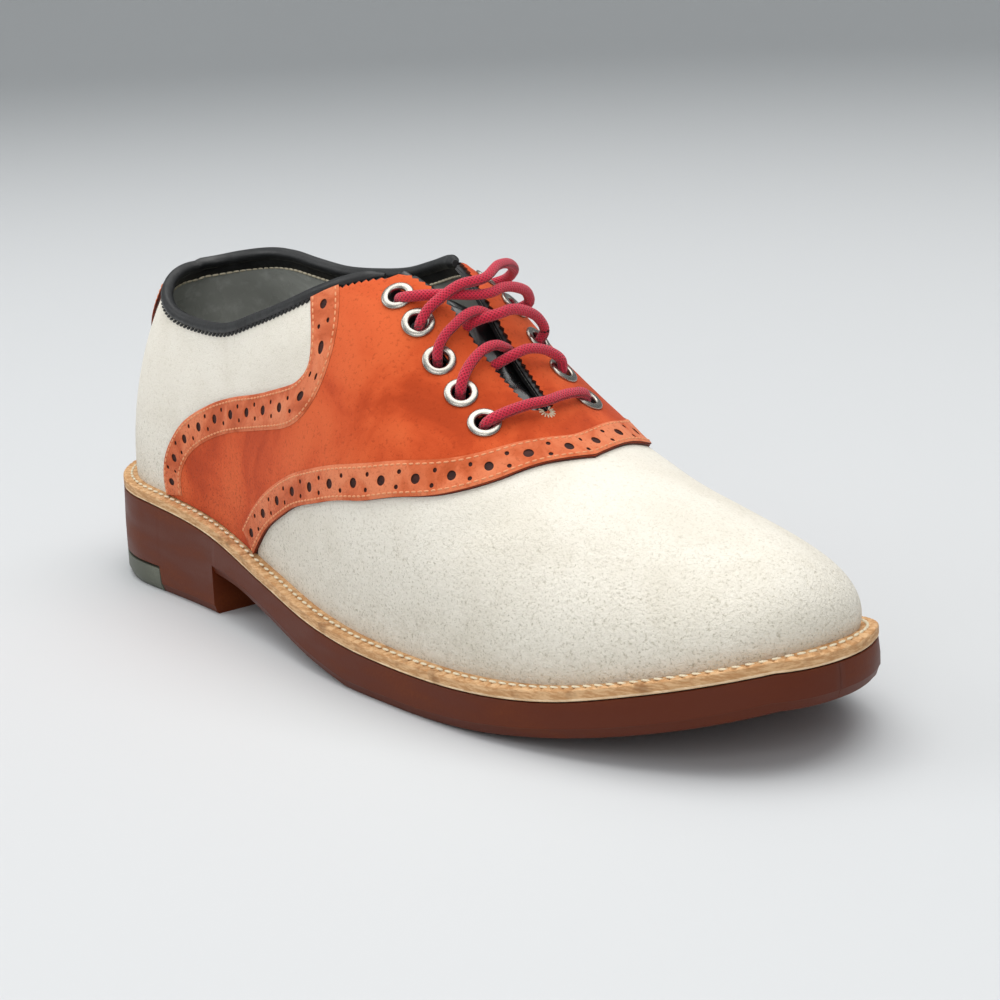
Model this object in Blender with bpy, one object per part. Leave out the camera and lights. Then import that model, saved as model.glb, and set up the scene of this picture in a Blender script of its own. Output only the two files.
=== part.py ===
"""A derby saddle shoe for the right foot, modelled from named sizes.

Metres, +Z up. The toe points along +X and the wearer's left is +Y, so the outer side of the foot
is -Y. The origin is the middle of the heel on the floor, and the shoe stands empty and unbent.

The last is one surface. A station runs from the heel's back (0) to the toe's tip (1) on each side,
and a height share runs from the feather line (0), where the upper meets the welt, to the crest (1).
"""
import math

import bmesh
import bpy
import numpy as np
from mathutils import Matrix, Vector

# Last
LAST_LENGTH = 0.296
BALL_WIDTH = 0.098
INSTEP_HEIGHT = 0.118
HEEL_SEAT = 0.030        # top of the rubber at the heel's back, above the floor
HEEL_REACH = 0.036       # from the middle of the heel to the last's back
HEEL_ROUND = 0.115       # share of the length that the heel's half ellipse takes
TOE_ROUND = 0.28         # share of the length that the toe's round takes
TOE_POWER = 2.3          # 2 is an ellipse, more is squarer
CREST_BACK = 0.20        # where the crest line starts and ends, as shares of the length
CREST_FRONT = 0.93

# Sole
SOLE_MARGIN = 0.0047     # how far welt and rubber stand out from the feather line
FOREFOOT_THICK = 0.0113
TOE_SPRING = 0.017
HEEL_BREAST = 0.0415     # front of the heel
BREAST_HEIGHT = 0.0136
BREAST_SLOPE = 0.0015
SOLE_FLARE = 0.0005
SOLE_BEVEL = 0.0028      # height of the bevel along the lower edge
SOLE_TUCK = 0.0010       # how far that bevel draws in
TIP_HEIGHT = 0.0076      # heel tip let into the back of the heel
TIP_FRONT = 0.0075
TIP_SLOPE = 0.0010
TIP_LIP = 0.0006         # how far the heel's side stands straight over the tip
WELT_THICK = 0.0034
WELT_INNER = 0.0060      # how far the welt runs in under the upper
WELT_EDGE = 0.0007
INSOLE_THICK = 0.0025
CLEAR = 0.0003           # between pieces that touch

# Upper
WALL = 0.0020
OVERLAY = 0.0012
THROAT = 0.650           # station of the throat's lower end
SLIT_LOW = 0.0025        # half of the throat's opening at its lower and upper ends
SLIT_HIGH = 0.0070
BINDING_HIGH = 0.0030
BINDING_OUT = 0.0012     # how far the binding stands out from the upper's outer and inner face
BINDING_IN = 0.0005
TONGUE_THICK = 0.0030
TONGUE_HALF = 0.0260     # half of the tongue's width, round the instep
TONGUE_CLEAR = 0.0006
TONGUE_SINK = 0.0034     # how much lower it lies under the binding than under the throat's end
TONGUE_LOW = 0.675       # stations of the tongue's ends
TONGUE_HIGH = 0.385
TONGUE_ROUND = 2.2       # how far its ends round off at the sides, in stations per metre

# Lacing
EYELET_FIRST = 0.491     # station of the top pair
EYELET_LAST = 0.645      # station of the bottom pair
EYELET_PAIRS = 5
EYELET_SPREAD = 0.0185   # from the crest line, round the instep
EYELET_OUTER = 0.0044
EYELET_BORE = 0.0023
EYELET_HIGH = 0.0009
LACE_RADIUS = 0.0016
LACE_ARCH = 0.0048       # how high a crossing stands over the facings
CROSSING_LOWER = 0.0022  # how much lower the outer side's strand passes, under the inner side's

LATERAL = -1
MEDIAL = 1

# Sections of the last. Along is a share of the length. Swing and ridge move the middle of the sole
# and of the crest towards the inner side, lateral, medial and lean are shares of the ball width,
# heel and toe say how much of the heel's lift and of the toe spring the bed has there, crest is a
# share of the instep's height, and rise and crown are how full the side and the top of a section are.
SECTION_NAMES = ("along", "swing", "lateral", "medial", "heel", "toe", "crest", "ridge", "lean", "rise", "crown")
SECTIONS = np.array([
    [0.00, 0.000, 0.322, 0.322, 1.000, 0.000, 1.040, 0.000, 0.014, 0.50, 0.58],
    [0.12, 0.000, 0.325, 0.322, 0.936, 0.000, 1.045, 0.000, 0.010, 0.50, 0.52],
    [0.25, 0.000, 0.328, 0.315, 0.743, 0.000, 1.050, 0.000, 0.014, 0.50, 0.64],
    [0.38, 0.000, 0.370, 0.315, 0.348, 0.000, 1.045, -0.008, 0.026, 0.50, 0.78],
    [0.50, 0.005, 0.432, 0.365, 0.110, 0.000, 0.990, -0.017, 0.035, 0.48, 0.82],
    [0.56, 0.015, 0.455, 0.400, 0.037, 0.000, 0.905, -0.027, 0.040, 0.50, 0.86],
    [0.62, 0.026, 0.465, 0.430, 0.000, 0.000, 0.760, -0.036, 0.045, 0.52, 0.86],
    [0.72, 0.050, 0.475, 0.455, 0.000, 0.020, 0.590, -0.038, 0.045, 0.50, 0.74],
    [0.82, 0.078, 0.462, 0.452, 0.000, 0.170, 0.520, -0.020, 0.045, 0.46, 0.56],
    [0.92, 0.100, 0.445, 0.435, 0.000, 0.560, 0.460, 0.000, 0.035, 0.48, 0.54],
    [1.00, 0.105, 0.435, 0.425, 0.000, 0.930, 0.434, 0.000, 0.030, 0.52, 0.54],
])

# Underside of the waist: share of the last's length, share of the breast's height
ARCH = np.array([[0.24, 1.00], [0.32, 0.86], [0.38, 0.60], [0.44, 0.36], [0.50, 0.15], [0.55, 0.00]])
FLAT_END = 0.635         # share of the last's length where the toe spring starts
SPRING_POWER = 2.0

# Top line: share of the last's length from its back, then the outer and the inner side's height as
# shares of the instep's height
TOP_LINE = np.array([
    [0.03, 0.838, 0.838],
    [0.06, 0.836, 0.840],
    [0.09, 0.800, 0.855],
    [0.14, 0.756, 0.870],
    [0.21, 0.740, 0.857],
    [0.26, 0.748, 0.845],
    [0.32, 0.795, 0.855],
    [0.38, 0.848, 0.876],
    [0.43, 0.897, 0.910],
    [0.47, 0.932, 0.938],
    [0.50, 0.950, 0.952],
    [0.60, 0.970, 0.970],
])

# Seams on the upper, as stations at each row of its mesh, from the feather line up: the heel tab's
# edge, the saddle's back edge and the saddle's front edge
ROWS = np.array([0.00, 0.10, 0.20, 0.32, 0.44, 0.56, 0.68, 0.78, 0.86, 0.92, 0.962, 1.00])
TAB_EDGE = np.array([0.006, 0.006, 0.006, 0.006, 0.006, 0.006, 0.009, 0.017, 0.024, 0.028, 0.030, 0.031])
SADDLE_BACK = np.array([0.152, 0.149, 0.152, 0.165, 0.187, 0.228, 0.288, 0.364, 0.423, 0.437, 0.421, 0.391])
SADDLE_FRONT = np.array([0.338, 0.356, 0.377, 0.412, 0.450, 0.503, 0.560, 0.613, 0.667, 0.700, 0.716, 0.735])
SIDE_SHARE = 0.44        # height share that the rows keep level along the side
ROW_POWER = 8            # how late the rows then turn up to the top edge
CORNER_LOW = 0.34        # how far across the saddle the corner's column runs lower down

# Columns of the upper's mesh in each stretch between two seams
TAB_COLUMNS = 4
QUARTER_COLUMNS = 9
TOP_COLUMNS = 3
FACING_COLUMNS = 8
BRIDGE_COLUMNS = 3
VAMP_COLUMNS = 14
SOLE_COLUMNS = 34

# Colours (linear), roughness and metallic value of each finish
FINISHES = {
    "white_suede": ((0.76, 0.74, 0.68), 0.90, 0.0),
    "coral_nubuck": ((0.74, 0.17, 0.075), 0.80, 0.0),
    "black_leather": ((0.012, 0.012, 0.014), 0.35, 0.0),
    "brick_rubber": ((0.14, 0.035, 0.022), 0.55, 0.0),
    "grey_rubber": ((0.075, 0.085, 0.075), 0.60, 0.0),
    "veg_tan_leather": ((0.52, 0.33, 0.17), 0.65, 0.0),
    "insole_leather": ((0.10, 0.10, 0.11), 0.60, 0.0),
    "nickel": ((0.70, 0.70, 0.68), 0.30, 1.0),
    "crimson_cord": ((0.47, 0.030, 0.045), 0.75, 0.0),
}


# The last

def smooth(at, known, values):
    """Values at the given places on a smooth curve through a table's rows."""
    at = np.clip(np.asarray(at, float), known[0], known[-1])
    step = np.diff(known)
    rate = np.diff(values) / step
    inner = (rate[:-1] * step[1:] + rate[1:] * step[:-1]) / (step[1:] + step[:-1])
    slope = np.concatenate([rate[:1], inner, rate[-1:]])
    row = np.clip(np.searchsorted(known, at, side="right") - 1, 0, len(known) - 2)
    part = (at - known[row]) / step[row]
    start = values[row] * (1 + 2 * part) * (1 - part) ** 2 + slope[row] * step[row] * part * (1 - part) ** 2
    end = values[row + 1] * part ** 2 * (3 - 2 * part) - slope[row + 1] * step[row] * part ** 2 * (1 - part)
    return start + end


def section(name, station):
    """One column of the section table, at the given stations."""
    return smooth(station, SECTIONS[:, 0], SECTIONS[:, SECTION_NAMES.index(name)])


def place(station):
    """Distance along the floor of a station."""
    return np.asarray(station) * LAST_LENGTH - HEEL_REACH


def station_at(distance):
    """Station of a distance along the floor."""
    return (distance + HEEL_REACH) / LAST_LENGTH


def round_ends(station):
    """How much of its full width the sole has: nothing at both tips, all of it between the rounds."""
    heel = np.clip(1 - station / HEEL_ROUND, 0, 1)
    toe = np.clip((station - 1 + TOE_ROUND) / TOE_ROUND, 0, 1)
    return np.sqrt(1 - heel ** 2) * (1 - toe ** TOE_POWER) ** (1 / TOE_POWER)


def bed(station):
    """Height of the rubber's top."""
    lift = section("heel", station) * (HEEL_SEAT - FOREFOOT_THICK)
    return FOREFOOT_THICK + lift + section("toe", station) * TOE_SPRING


def feather(station, side):
    """The line where the upper meets the welt."""
    half = np.where(side < 0, section("lateral", station), section("medial", station))
    across = section("swing", station) + side * half * round_ends(station)
    height = bed(station) + WELT_THICK + 2 * CLEAR
    return np.stack([place(station), across * BALL_WIDTH, height], -1)


def crest(share):
    """The line along the top of the last, by share of the length."""
    across = (section("swing", share) + section("ridge", share)) * BALL_WIDTH
    return np.stack([place(share), across, section("crest", share) * INSTEP_HEIGHT], -1)


def last(station, height, side):
    """A point of the last's surface. Each section is one cubic curve from the feather to the crest."""
    station, height = np.broadcast_arrays(np.asarray(station, float), np.asarray(height, float))
    foot = feather(station, side)
    share = CREST_BACK + (CREST_FRONT - CREST_BACK) * station
    top = crest(share)
    fore, aft = crest(share + 0.005), crest(share - 0.005)
    slope = (fore - aft)[..., 2] / (fore - aft)[..., 0]
    out = (foot - top)[..., :2]
    reach = np.linalg.norm(out, axis=-1, keepdims=True)
    out = out / np.maximum(reach, 1e-9)
    lean = section("lean", station)[..., None] * BALL_WIDTH
    rise = section("rise", station) * (top - foot)[..., 2]
    low = foot + np.concatenate([out * lean, rise[..., None]], -1)
    crown = section("crown", station)[..., None] * reach
    high = top + np.concatenate([out, (out[..., 0] * slope)[..., None]], -1) * crown
    part = height[..., None]
    return ((1 - part) ** 3 * foot + 3 * (1 - part) ** 2 * part * low
            + 3 * (1 - part) * part ** 2 * high + part ** 3 * top)


def outward(station, height, side):
    """Unit normal of the last's surface, pointing out of the shoe."""
    near = 1e-4
    along = last(np.minimum(station + near, 1), height, side) - last(np.maximum(station - near, 0), height, side)
    up = last(station, np.minimum(height + near, 1), side) - last(station, np.maximum(height - near, 0), side)
    normal = np.cross(along, up) * -side
    return normal / np.linalg.norm(normal, axis=-1, keepdims=True)


def outline(station, side, margin):
    """Plan of the sole: the feather line moved out by a margin."""
    near = 1e-4
    ahead = feather(np.clip(station + near, 0, 1), side)[..., :2]
    behind = feather(np.clip(station - near, 0, 1), side)[..., :2]
    along = ahead - behind
    along = along / np.linalg.norm(along, axis=-1, keepdims=True)
    out = np.stack([along[..., 1], -along[..., 0]], -1) * -side
    return feather(station, side)[..., :2] + out * np.asarray(margin)[..., None]


def height_at_arc(station, side, distance):
    """Height share of the point at a distance from the crest, measured round the section."""
    shares = np.linspace(1, 0, 201)
    curve = last(station, shares, side)
    run = np.concatenate([[0], np.cumsum(np.linalg.norm(np.diff(curve, axis=0), axis=1))])
    return float(np.interp(distance, run, shares))


def on_last(station, side, distance, lift=0.0):
    """Point and normal at a station and a distance from the crest, lifted off the surface."""
    share = height_at_arc(station, side, distance)
    normal = outward(np.array(station), np.array(share), side)
    return last(station, share, side) + normal * lift, normal


# The upper's edges

def top_line_share(station, side):
    """Height share where a section crosses the top line."""
    shares = np.linspace(0.1, 1, 451)
    curve = last(station, shares, side)
    heights = TOP_LINE[:, 1 if side < 0 else 2] * INSTEP_HEIGHT
    line = smooth(station_at(curve[:, 0]), TOP_LINE[:, 0], heights)
    over = np.nonzero(curve[:, 2] >= line)[0]
    return float(shares[over[0]]) if len(over) else 1.0


def slit_share(station, side):
    """Height share of the facing's edge beside the throat."""
    part = (THROAT - station) / (THROAT - EYELET_FIRST)
    half = SLIT_LOW + (SLIT_HIGH - SLIT_LOW) * np.clip(part, 0, 1.4)
    return height_at_arc(station, side, half)


def corner_station(side):
    """Station where the top line meets the facing's edge."""
    low, high = SADDLE_BACK[-1], THROAT
    for _ in range(30):
        middle = (low + high) / 2
        if top_line_share(middle, side) < slit_share(middle, side):
            low = middle
        else:
            high = middle
    return (low + high) / 2


def to_angle(station):
    """Stations are spread by a cosine, so that they crowd at both tips."""
    return np.arccos(1 - 2 * np.asarray(station, float)) / math.pi


def from_angle(angle):
    return (1 - np.cos(math.pi * np.asarray(angle))) / 2


def upper_grid(side):
    """Points of one half of the upper's outer face, rows by columns, and the columns of its seams."""
    tab, back, front = to_angle(TAB_EDGE), to_angle(SADDLE_BACK), to_angle(SADDLE_FRONT)
    corner, throat = to_angle(corner_station(side)), to_angle(THROAT)
    span = front[-1] - back[-1]
    late = ROWS ** ROW_POWER
    to_corner = CORNER_LOW + ((corner - back[-1]) / span - CORNER_LOW) * late
    to_throat = (throat - back[-1]) / span
    corner = back + (front - back) * to_corner
    throat = back + (front - back) * to_throat
    guides = [np.zeros_like(tab), tab, back, corner, throat, front, np.ones_like(tab)]
    counts = [TAB_COLUMNS, QUARTER_COLUMNS, TOP_COLUMNS, FACING_COLUMNS, BRIDGE_COLUMNS, VAMP_COLUMNS]
    angles = [guides[0]]
    marks = [0]
    for start, end, count in zip(guides[:-1], guides[1:], counts):
        for step in range(1, count + 1):
            angles.append(start + (end - start) * step / count)
        marks.append(marks[-1] + count)
    stations = from_angle(np.stack(angles, 1))
    tops = np.ones(stations.shape[1])
    for column in range(marks[3] + 1):
        station = stations[-1, column]
        tops[column] = min(top_line_share(station, side), slit_share(station, side))
    for column in range(marks[3] + 1, marks[4]):
        tops[column] = slit_share(stations[-1, column], side)
    rows = ROWS[:, None]
    heights = SIDE_SHARE * rows + (tops - SIDE_SHARE) * rows ** ROW_POWER
    return last(stations, heights, side), marks


class Skin:
    """The upper's outer face as one mesh of both halves, joined at heel, crest and toe."""

    def __init__(self):
        grids = {}
        for side in (LATERAL, MEDIAL):
            grids[side], self.marks = upper_grid(side)
        self.rows, self.columns = grids[LATERAL].shape[:2]
        self.points = []
        self.index = {}
        for side in (LATERAL, MEDIAL):
            numbers = np.zeros((self.rows, self.columns), int)
            for row in range(self.rows):
                for column in range(self.columns):
                    shared = column in (0, self.columns - 1)
                    shared = shared or (row == self.rows - 1 and column >= self.marks[4])
                    if side == MEDIAL and shared:
                        numbers[row, column] = self.index[LATERAL][row, column]
                    else:
                        numbers[row, column] = len(self.points)
                        self.points.append(grids[side][row, column])
            self.index[side] = numbers
        self.points = np.array(self.points)
        self.normals = self.vertex_normals()

    def faces(self, first, end):
        """Triangles of both halves between two columns, wound to point outwards.

        Each cell is cut along its shorter diagonal, so every copy of the skin is cut alike.
        """
        found = []
        for side in (LATERAL, MEDIAL):
            number = self.index[side]
            for row in range(self.rows - 1):
                for column in range(first, end):
                    a, b = number[row, column], number[row, column + 1]
                    c, d = number[row + 1, column + 1], number[row + 1, column]
                    if self.length(a, c) < self.length(b, d):
                        cell = [[a, b, c], [a, c, d]]
                    else:
                        cell = [[a, b, d], [b, c, d]]
                    found += cell if side == LATERAL else [face[::-1] for face in cell]
        return found

    def length(self, start, end):
        return np.linalg.norm(self.points[start] - self.points[end])

    def vertex_normals(self):
        normals = np.zeros_like(self.points)
        for face in self.faces(0, self.columns - 1):
            a, b, c = self.points[face]
            normals[face] += np.cross(b - a, c - a)
        return normals / np.linalg.norm(normals, axis=1, keepdims=True)


# Meshes

def finish(name):
    """The Principled material of a finish, made once."""
    material = bpy.data.materials.get(name)
    if material is None:
        colour, roughness, metallic = FINISHES[name]
        material = bpy.data.materials.new(name)
        material.use_nodes = True
        shader = material.node_tree.nodes["Principled BSDF"]
        shader.inputs["Base Color"].default_value = (*colour, 1)
        shader.inputs["Roughness"].default_value = roughness
        shader.inputs["Metallic"].default_value = metallic
        material.diffuse_color = (*colour, 1)
    return material


def add_object(name, points, faces, material):
    """A mesh object with its faces turned outwards."""
    body = bmesh.new()
    for point in points:
        body.verts.new(point)
    body.verts.ensure_lookup_table()
    for face in faces:
        body.faces.new([body.verts[number] for number in face])
    bmesh.ops.recalc_face_normals(body, faces=body.faces)
    mesh = bpy.data.meshes.new(name)
    body.to_mesh(mesh)
    body.free()
    mesh.materials.append(finish(material))
    made = bpy.data.objects.new(name, mesh)
    bpy.context.scene.collection.objects.link(made)
    return made


def thicken(inner, outer, sheet_faces):
    """Points and faces of a closed solid between two copies of an open sheet."""
    count = len(inner)
    faces = [list(face) for face in sheet_faces]
    faces += [[number + count for number in face[::-1]] for face in sheet_faces]
    edges = {}
    for face in sheet_faces:
        for start, end in zip(face, face[1:] + face[:1]):
            edges[(start, end)] = True
    for start, end in edges:
        if (end, start) not in edges:
            faces.append([end, start, start + count, end + count])
    return np.concatenate([outer, inner]), faces


def patch(skin, first, end, low, high):
    """A closed sheet over part of the skin, between two distances from it."""
    faces = skin.faces(first, end)
    used = sorted({number for face in faces for number in face})
    renumber = {number: place for place, number in enumerate(used)}
    faces = [[renumber[number] for number in face] for face in faces]
    points, normals = skin.points[used], skin.normals[used]
    return thicken(points + normals * low, points + normals * high, faces)


def loop_points(stations, margin, level):
    """A closed loop round the sole: the outer side from heel to toe, then the inner side back.

    The level is a height, or a function that gives the height for each point's own place.
    """
    margin = np.broadcast_to(margin, stations.shape)
    sides = []
    for side in (LATERAL, MEDIAL):
        plan = outline(stations, side, margin)
        height = level(station_at(plan[:, 0])) if callable(level) else np.broadcast_to(level, stations.shape)
        sides.append(np.column_stack([plan, height]))
    return np.concatenate([sides[0], sides[1][-2:0:-1]])


def stack_loops(loops, closed=False):
    """Faces between loops, with a ladder of faces over each end unless the stack is closed."""
    count = len(loops[0])
    half = count // 2
    faces = []
    for level in range(len(loops) if closed else len(loops) - 1):
        start, end = level * count, (level + 1) % len(loops) * count
        for step in range(count):
            after = (step + 1) % count
            faces.append([start + step, start + after, end + after, end + step])
    if not closed:
        for base in (0, (len(loops) - 1) * count):
            for step in range(half):
                ring = [step, step + 1, count - step - 1, (count - step) % count]
                corners = list(dict.fromkeys(base + number for number in ring))
                faces.append(corners)
    return np.concatenate(loops), faces


# Sole pieces

def sole_stations():
    """Stations round the sole, with some at the exact places where its underside turns."""
    turns = [TIP_FRONT, TIP_FRONT + TIP_SLOPE, HEEL_BREAST, HEEL_BREAST + BREAST_SLOPE]
    exact = [*(station_at(turn) for turn in turns), ARCH[-1, 0], FLAT_END]
    spread = from_angle(np.linspace(0, 1, SOLE_COLUMNS + 1))
    clear = 0.4 / SOLE_COLUMNS
    kept = [station for station in spread if min(abs(station - other) for other in exact) > clear]
    return np.array(sorted([*kept, *exact]))


def set_front(loop, stations, station, distance):
    """Put both points of one station at an exact distance along the floor."""
    step = int(np.argmin(abs(stations - station)))
    loop[step, 0] = distance
    loop[(len(loop) - step) % len(loop), 0] = distance


def tread(station):
    """Height of the rubber's underside in front of the heel."""
    arch = smooth(station, ARCH[:, 0], ARCH[:, 1]) * BREAST_HEIGHT
    part = np.clip((station - FLAT_END) / (1 - FLAT_END), 0, 1)
    return arch + part ** SPRING_POWER * TOE_SPRING


def make_outsole():
    """Rubber unit with its heel, a raised bed inside the welt and a notch for the heel tip."""
    notch, notch_end = station_at(TIP_FRONT), station_at(TIP_FRONT + TIP_SLOPE)
    breast, breast_end = station_at(HEEL_BREAST), station_at(HEEL_BREAST + BREAST_SLOPE)
    stations = sole_stations()
    in_notch = stations <= notch + 1e-6
    in_heel = stations <= breast + 1e-6

    def under(at):
        return np.where(in_notch, TIP_HEIGHT + CLEAR, np.where(in_heel, 0.0, tread(at)))

    def bevel(at):
        return under(at) + np.where(in_notch, TIP_LIP, SOLE_BEVEL)

    def raised(at):
        return bed(at) + CLEAR + WELT_THICK

    edge = SOLE_MARGIN + SOLE_FLARE
    tuck = np.where(in_notch, 0.0, SOLE_TUCK)
    loops = [
        loop_points(stations, -WELT_INNER - CLEAR, raised),
        loop_points(stations, -WELT_INNER - CLEAR, bed),
        loop_points(stations, SOLE_MARGIN, bed),
        loop_points(stations, edge, bevel),
        loop_points(stations, edge - tuck, under),
    ]
    exact = {notch: TIP_FRONT, notch_end: TIP_FRONT + TIP_SLOPE,
             breast: HEEL_BREAST, breast_end: HEEL_BREAST + BREAST_SLOPE}
    for loop in loops[2:]:
        for station, distance in exact.items():
            set_front(loop, stations, station, distance)
    add_object("outsole", *stack_loops(loops), "brick_rubber")


def make_heel_tip():
    """Grey tip let into the heel's lower back corner."""
    stations = sole_stations()
    stations = stations[stations <= station_at(TIP_FRONT) + 1e-6]
    edge = SOLE_MARGIN + SOLE_FLARE
    levels = [(edge, TIP_HEIGHT), (edge, SOLE_BEVEL), (edge - SOLE_TUCK, 0.0)]
    loops = []
    for margin, height in levels:
        outer = np.column_stack([outline(stations, LATERAL, np.full(len(stations), margin)),
                                 np.full(len(stations), height)])
        inner = np.column_stack([outline(stations, MEDIAL, np.full(len(stations), margin)),
                                 np.full(len(stations), height)])
        slope = TIP_SLOPE * (1 - height / TIP_HEIGHT)
        outer[-1, 0] = inner[-1, 0] = TIP_FRONT + slope - CLEAR
        loops.append(np.concatenate([outer, inner[:0:-1]]))
    count = len(loops[0])
    points = np.concatenate(loops)
    faces = []
    for level in range(len(loops) - 1):
        for step in range(count):
            after = (step + 1) % count
            faces.append([level * count + step, level * count + after,
                          (level + 1) * count + after, (level + 1) * count + step])
    for base in (0, (len(loops) - 1) * count):
        faces.append([base, base + 1, base + count - 1])
        for step in range(1, len(stations) - 1):
            faces.append([base + step, base + step + 1, base + count - step - 1, base + count - step])
    add_object("heel_tip", points, faces, "grey_rubber")


def make_welt():
    """Leather strip all round between the rubber and the upper."""
    corners = [
        (-WELT_INNER, 0.0),
        (SOLE_MARGIN - WELT_EDGE / 2, 0.0),
        (SOLE_MARGIN, WELT_EDGE),
        (SOLE_MARGIN, WELT_THICK - WELT_EDGE),
        (SOLE_MARGIN - WELT_EDGE, WELT_THICK),
        (-WELT_INNER, WELT_THICK),
    ]
    stations = sole_stations()
    loops = [loop_points(stations, margin, lambda at, rise=rise: bed(at) + CLEAR + rise)
             for margin, rise in corners]
    add_object("welt", *stack_loops(loops, closed=True), "veg_tan_leather")


def make_insole():
    """Inner sole between the upper's walls, on the welt and the raised bed."""
    stations = sole_stations()
    inset = -(WALL + 2 * CLEAR)
    loops = [loop_points(stations, inset, lambda at, rise=rise: bed(at) + WELT_THICK + 2 * CLEAR + rise)
             for rise in (INSOLE_THICK, 0.0)]
    add_object("insole", *stack_loops(loops), "insole_leather")


# Upper pieces

def make_upper(skin):
    """The hollow upper: open at the collar, down the throat and underneath."""
    add_object("upper", *patch(skin, 0, skin.columns - 1, -WALL, 0.0), "white_suede")


def make_overlays(skin):
    """Saddle over the waist and instep, and the tab round the heel's back."""
    marks = skin.marks
    add_object("saddle", *patch(skin, marks[2], marks[5], CLEAR, CLEAR + OVERLAY), "coral_nubuck")
    add_object("heel_tab", *patch(skin, 0, marks[1], CLEAR, CLEAR + OVERLAY), "coral_nubuck")


def make_binding(skin):
    """Rolled edge along the collar, from one facing's corner round the heel to the other's."""
    end = skin.marks[3]
    lateral = skin.index[LATERAL][-1, :end + 1]
    medial = skin.index[MEDIAL][-1, :end + 1]
    numbers = [*lateral[::-1], *medial[1:]]
    points, normals = skin.points[numbers], skin.normals[numbers]
    along = np.gradient(points, axis=0)
    along /= np.linalg.norm(along, axis=1, keepdims=True)
    up = np.cross(normals, along)
    up *= np.sign(up[:, 2:3])
    up /= np.linalg.norm(up, axis=1, keepdims=True)
    out, inn, high = BINDING_OUT, -WALL - BINDING_IN, BINDING_HIGH
    middle, half = (out + inn) / 2, (out - inn) / 2
    profile = [(inn, 0.0), (out, 0.0)]
    for turn in range(5):
        angle = math.pi * turn / 4
        profile.append((middle + half * math.cos(angle), high - half * 0.75 + half * 0.75 * math.sin(angle)))
    rings = [points + normals * across + up * (CLEAR + rise) for across, rise in profile]
    grid = np.stack(rings, 1)
    length, around = grid.shape[:2]
    faces = []
    for step in range(length - 1):
        for turn in range(around):
            after = (turn + 1) % around
            faces.append([step * around + turn, step * around + after,
                          (step + 1) * around + after, (step + 1) * around + turn])
    faces.append(list(range(around)))
    faces.append([(length - 1) * around + turn for turn in range(around)])
    add_object("collar_binding", grid.reshape(-1, 3), faces, "black_leather")


def make_tongue():
    """Tongue under the facings, from behind the throat's end to above the top eyelets."""
    stations = np.linspace(TONGUE_LOW, TONGUE_HIGH, 14)
    across = np.linspace(-TONGUE_HALF, TONGUE_HALF, 11)
    top, bottom = [], []
    for station in stations:
        for distance in across:
            side = LATERAL if distance < 0 else MEDIAL
            part = (TONGUE_LOW - station) / (TONGUE_LOW - TONGUE_HIGH)
            narrow = abs(distance) * (0.80 + 0.20 * part)
            point, normal = on_last(station + narrow * TONGUE_ROUND, side, narrow)
            sink = WALL + TONGUE_CLEAR + TONGUE_SINK * min(1.0, 1.5 * part) ** 2
            top.append(point - normal * sink)
            bottom.append(point - normal * (sink + TONGUE_THICK))
    columns = len(across)
    faces = []
    for row in range(len(stations) - 1):
        for column in range(columns - 1):
            corner = row * columns + column
            faces.append([corner, corner + 1, corner + columns + 1, corner + columns])
    add_object("tongue", *thicken(np.array(bottom), np.array(top), faces), "black_leather")


# Eyelets and laces

def eyelet_station(pair):
    """Station of an eyelet pair, counted from the top."""
    return EYELET_FIRST + (EYELET_LAST - EYELET_FIRST) * pair / (EYELET_PAIRS - 1)


def make_eyelets():
    """Flat flanged rings on the saddle, five on each side."""
    for side, name in ((LATERAL, "lateral"), (MEDIAL, "medial")):
        for pair in range(EYELET_PAIRS):
            base, normal = on_last(eyelet_station(pair), side, EYELET_SPREAD, 2 * CLEAR + OVERLAY)
            turn = Vector(normal).to_track_quat("Z", "Y").to_matrix().to_4x4()
            matrix = Matrix.Translation(base) @ turn
            profile = [(EYELET_BORE, 0), (EYELET_OUTER, 0), (EYELET_OUTER - EYELET_HIGH, EYELET_HIGH),
                       (EYELET_BORE, EYELET_HIGH)]
            segments = 12
            points = []
            for step in range(segments):
                angle = 2 * math.pi * step / segments
                for radius, height in profile:
                    points.append((radius * math.cos(angle), radius * math.sin(angle), height))
            faces = []
            for step in range(segments):
                after = (step + 1) % segments
                for edge in range(4):
                    follow = (edge + 1) % 4
                    faces.append([step * 4 + edge, after * 4 + edge, after * 4 + follow, step * 4 + follow])
            made = add_object(f"eyelet_{name}_{pair + 1}", points, faces, "nickel")
            made.matrix_world = matrix


def tube(name, route, sides=7):
    """A round cord along a list of points, with flat ends."""
    route = np.array(route)
    along = np.gradient(route, axis=0)
    along /= np.linalg.norm(along, axis=1, keepdims=True)
    up = np.array([0.0, 0.0, 1.0])
    points = []
    for centre, forward in zip(route, along):
        across = np.cross(forward, up)
        across /= np.linalg.norm(across)
        over = np.cross(across, forward)
        for turn in range(sides):
            angle = 2 * math.pi * (turn + 0.5) / sides
            points.append(centre + LACE_RADIUS * (math.cos(angle) * across + math.sin(angle) * over))
    faces = []
    for step in range(len(route) - 1):
        for turn in range(sides):
            after = (turn + 1) % sides
            faces.append([step * sides + turn, step * sides + after,
                          (step + 1) * sides + after, (step + 1) * sides + turn])
    faces.append(list(range(sides)))
    faces.append([(len(route) - 1) * sides + turn for turn in range(sides)])
    return add_object(name, points, faces, "crimson_cord")


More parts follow.
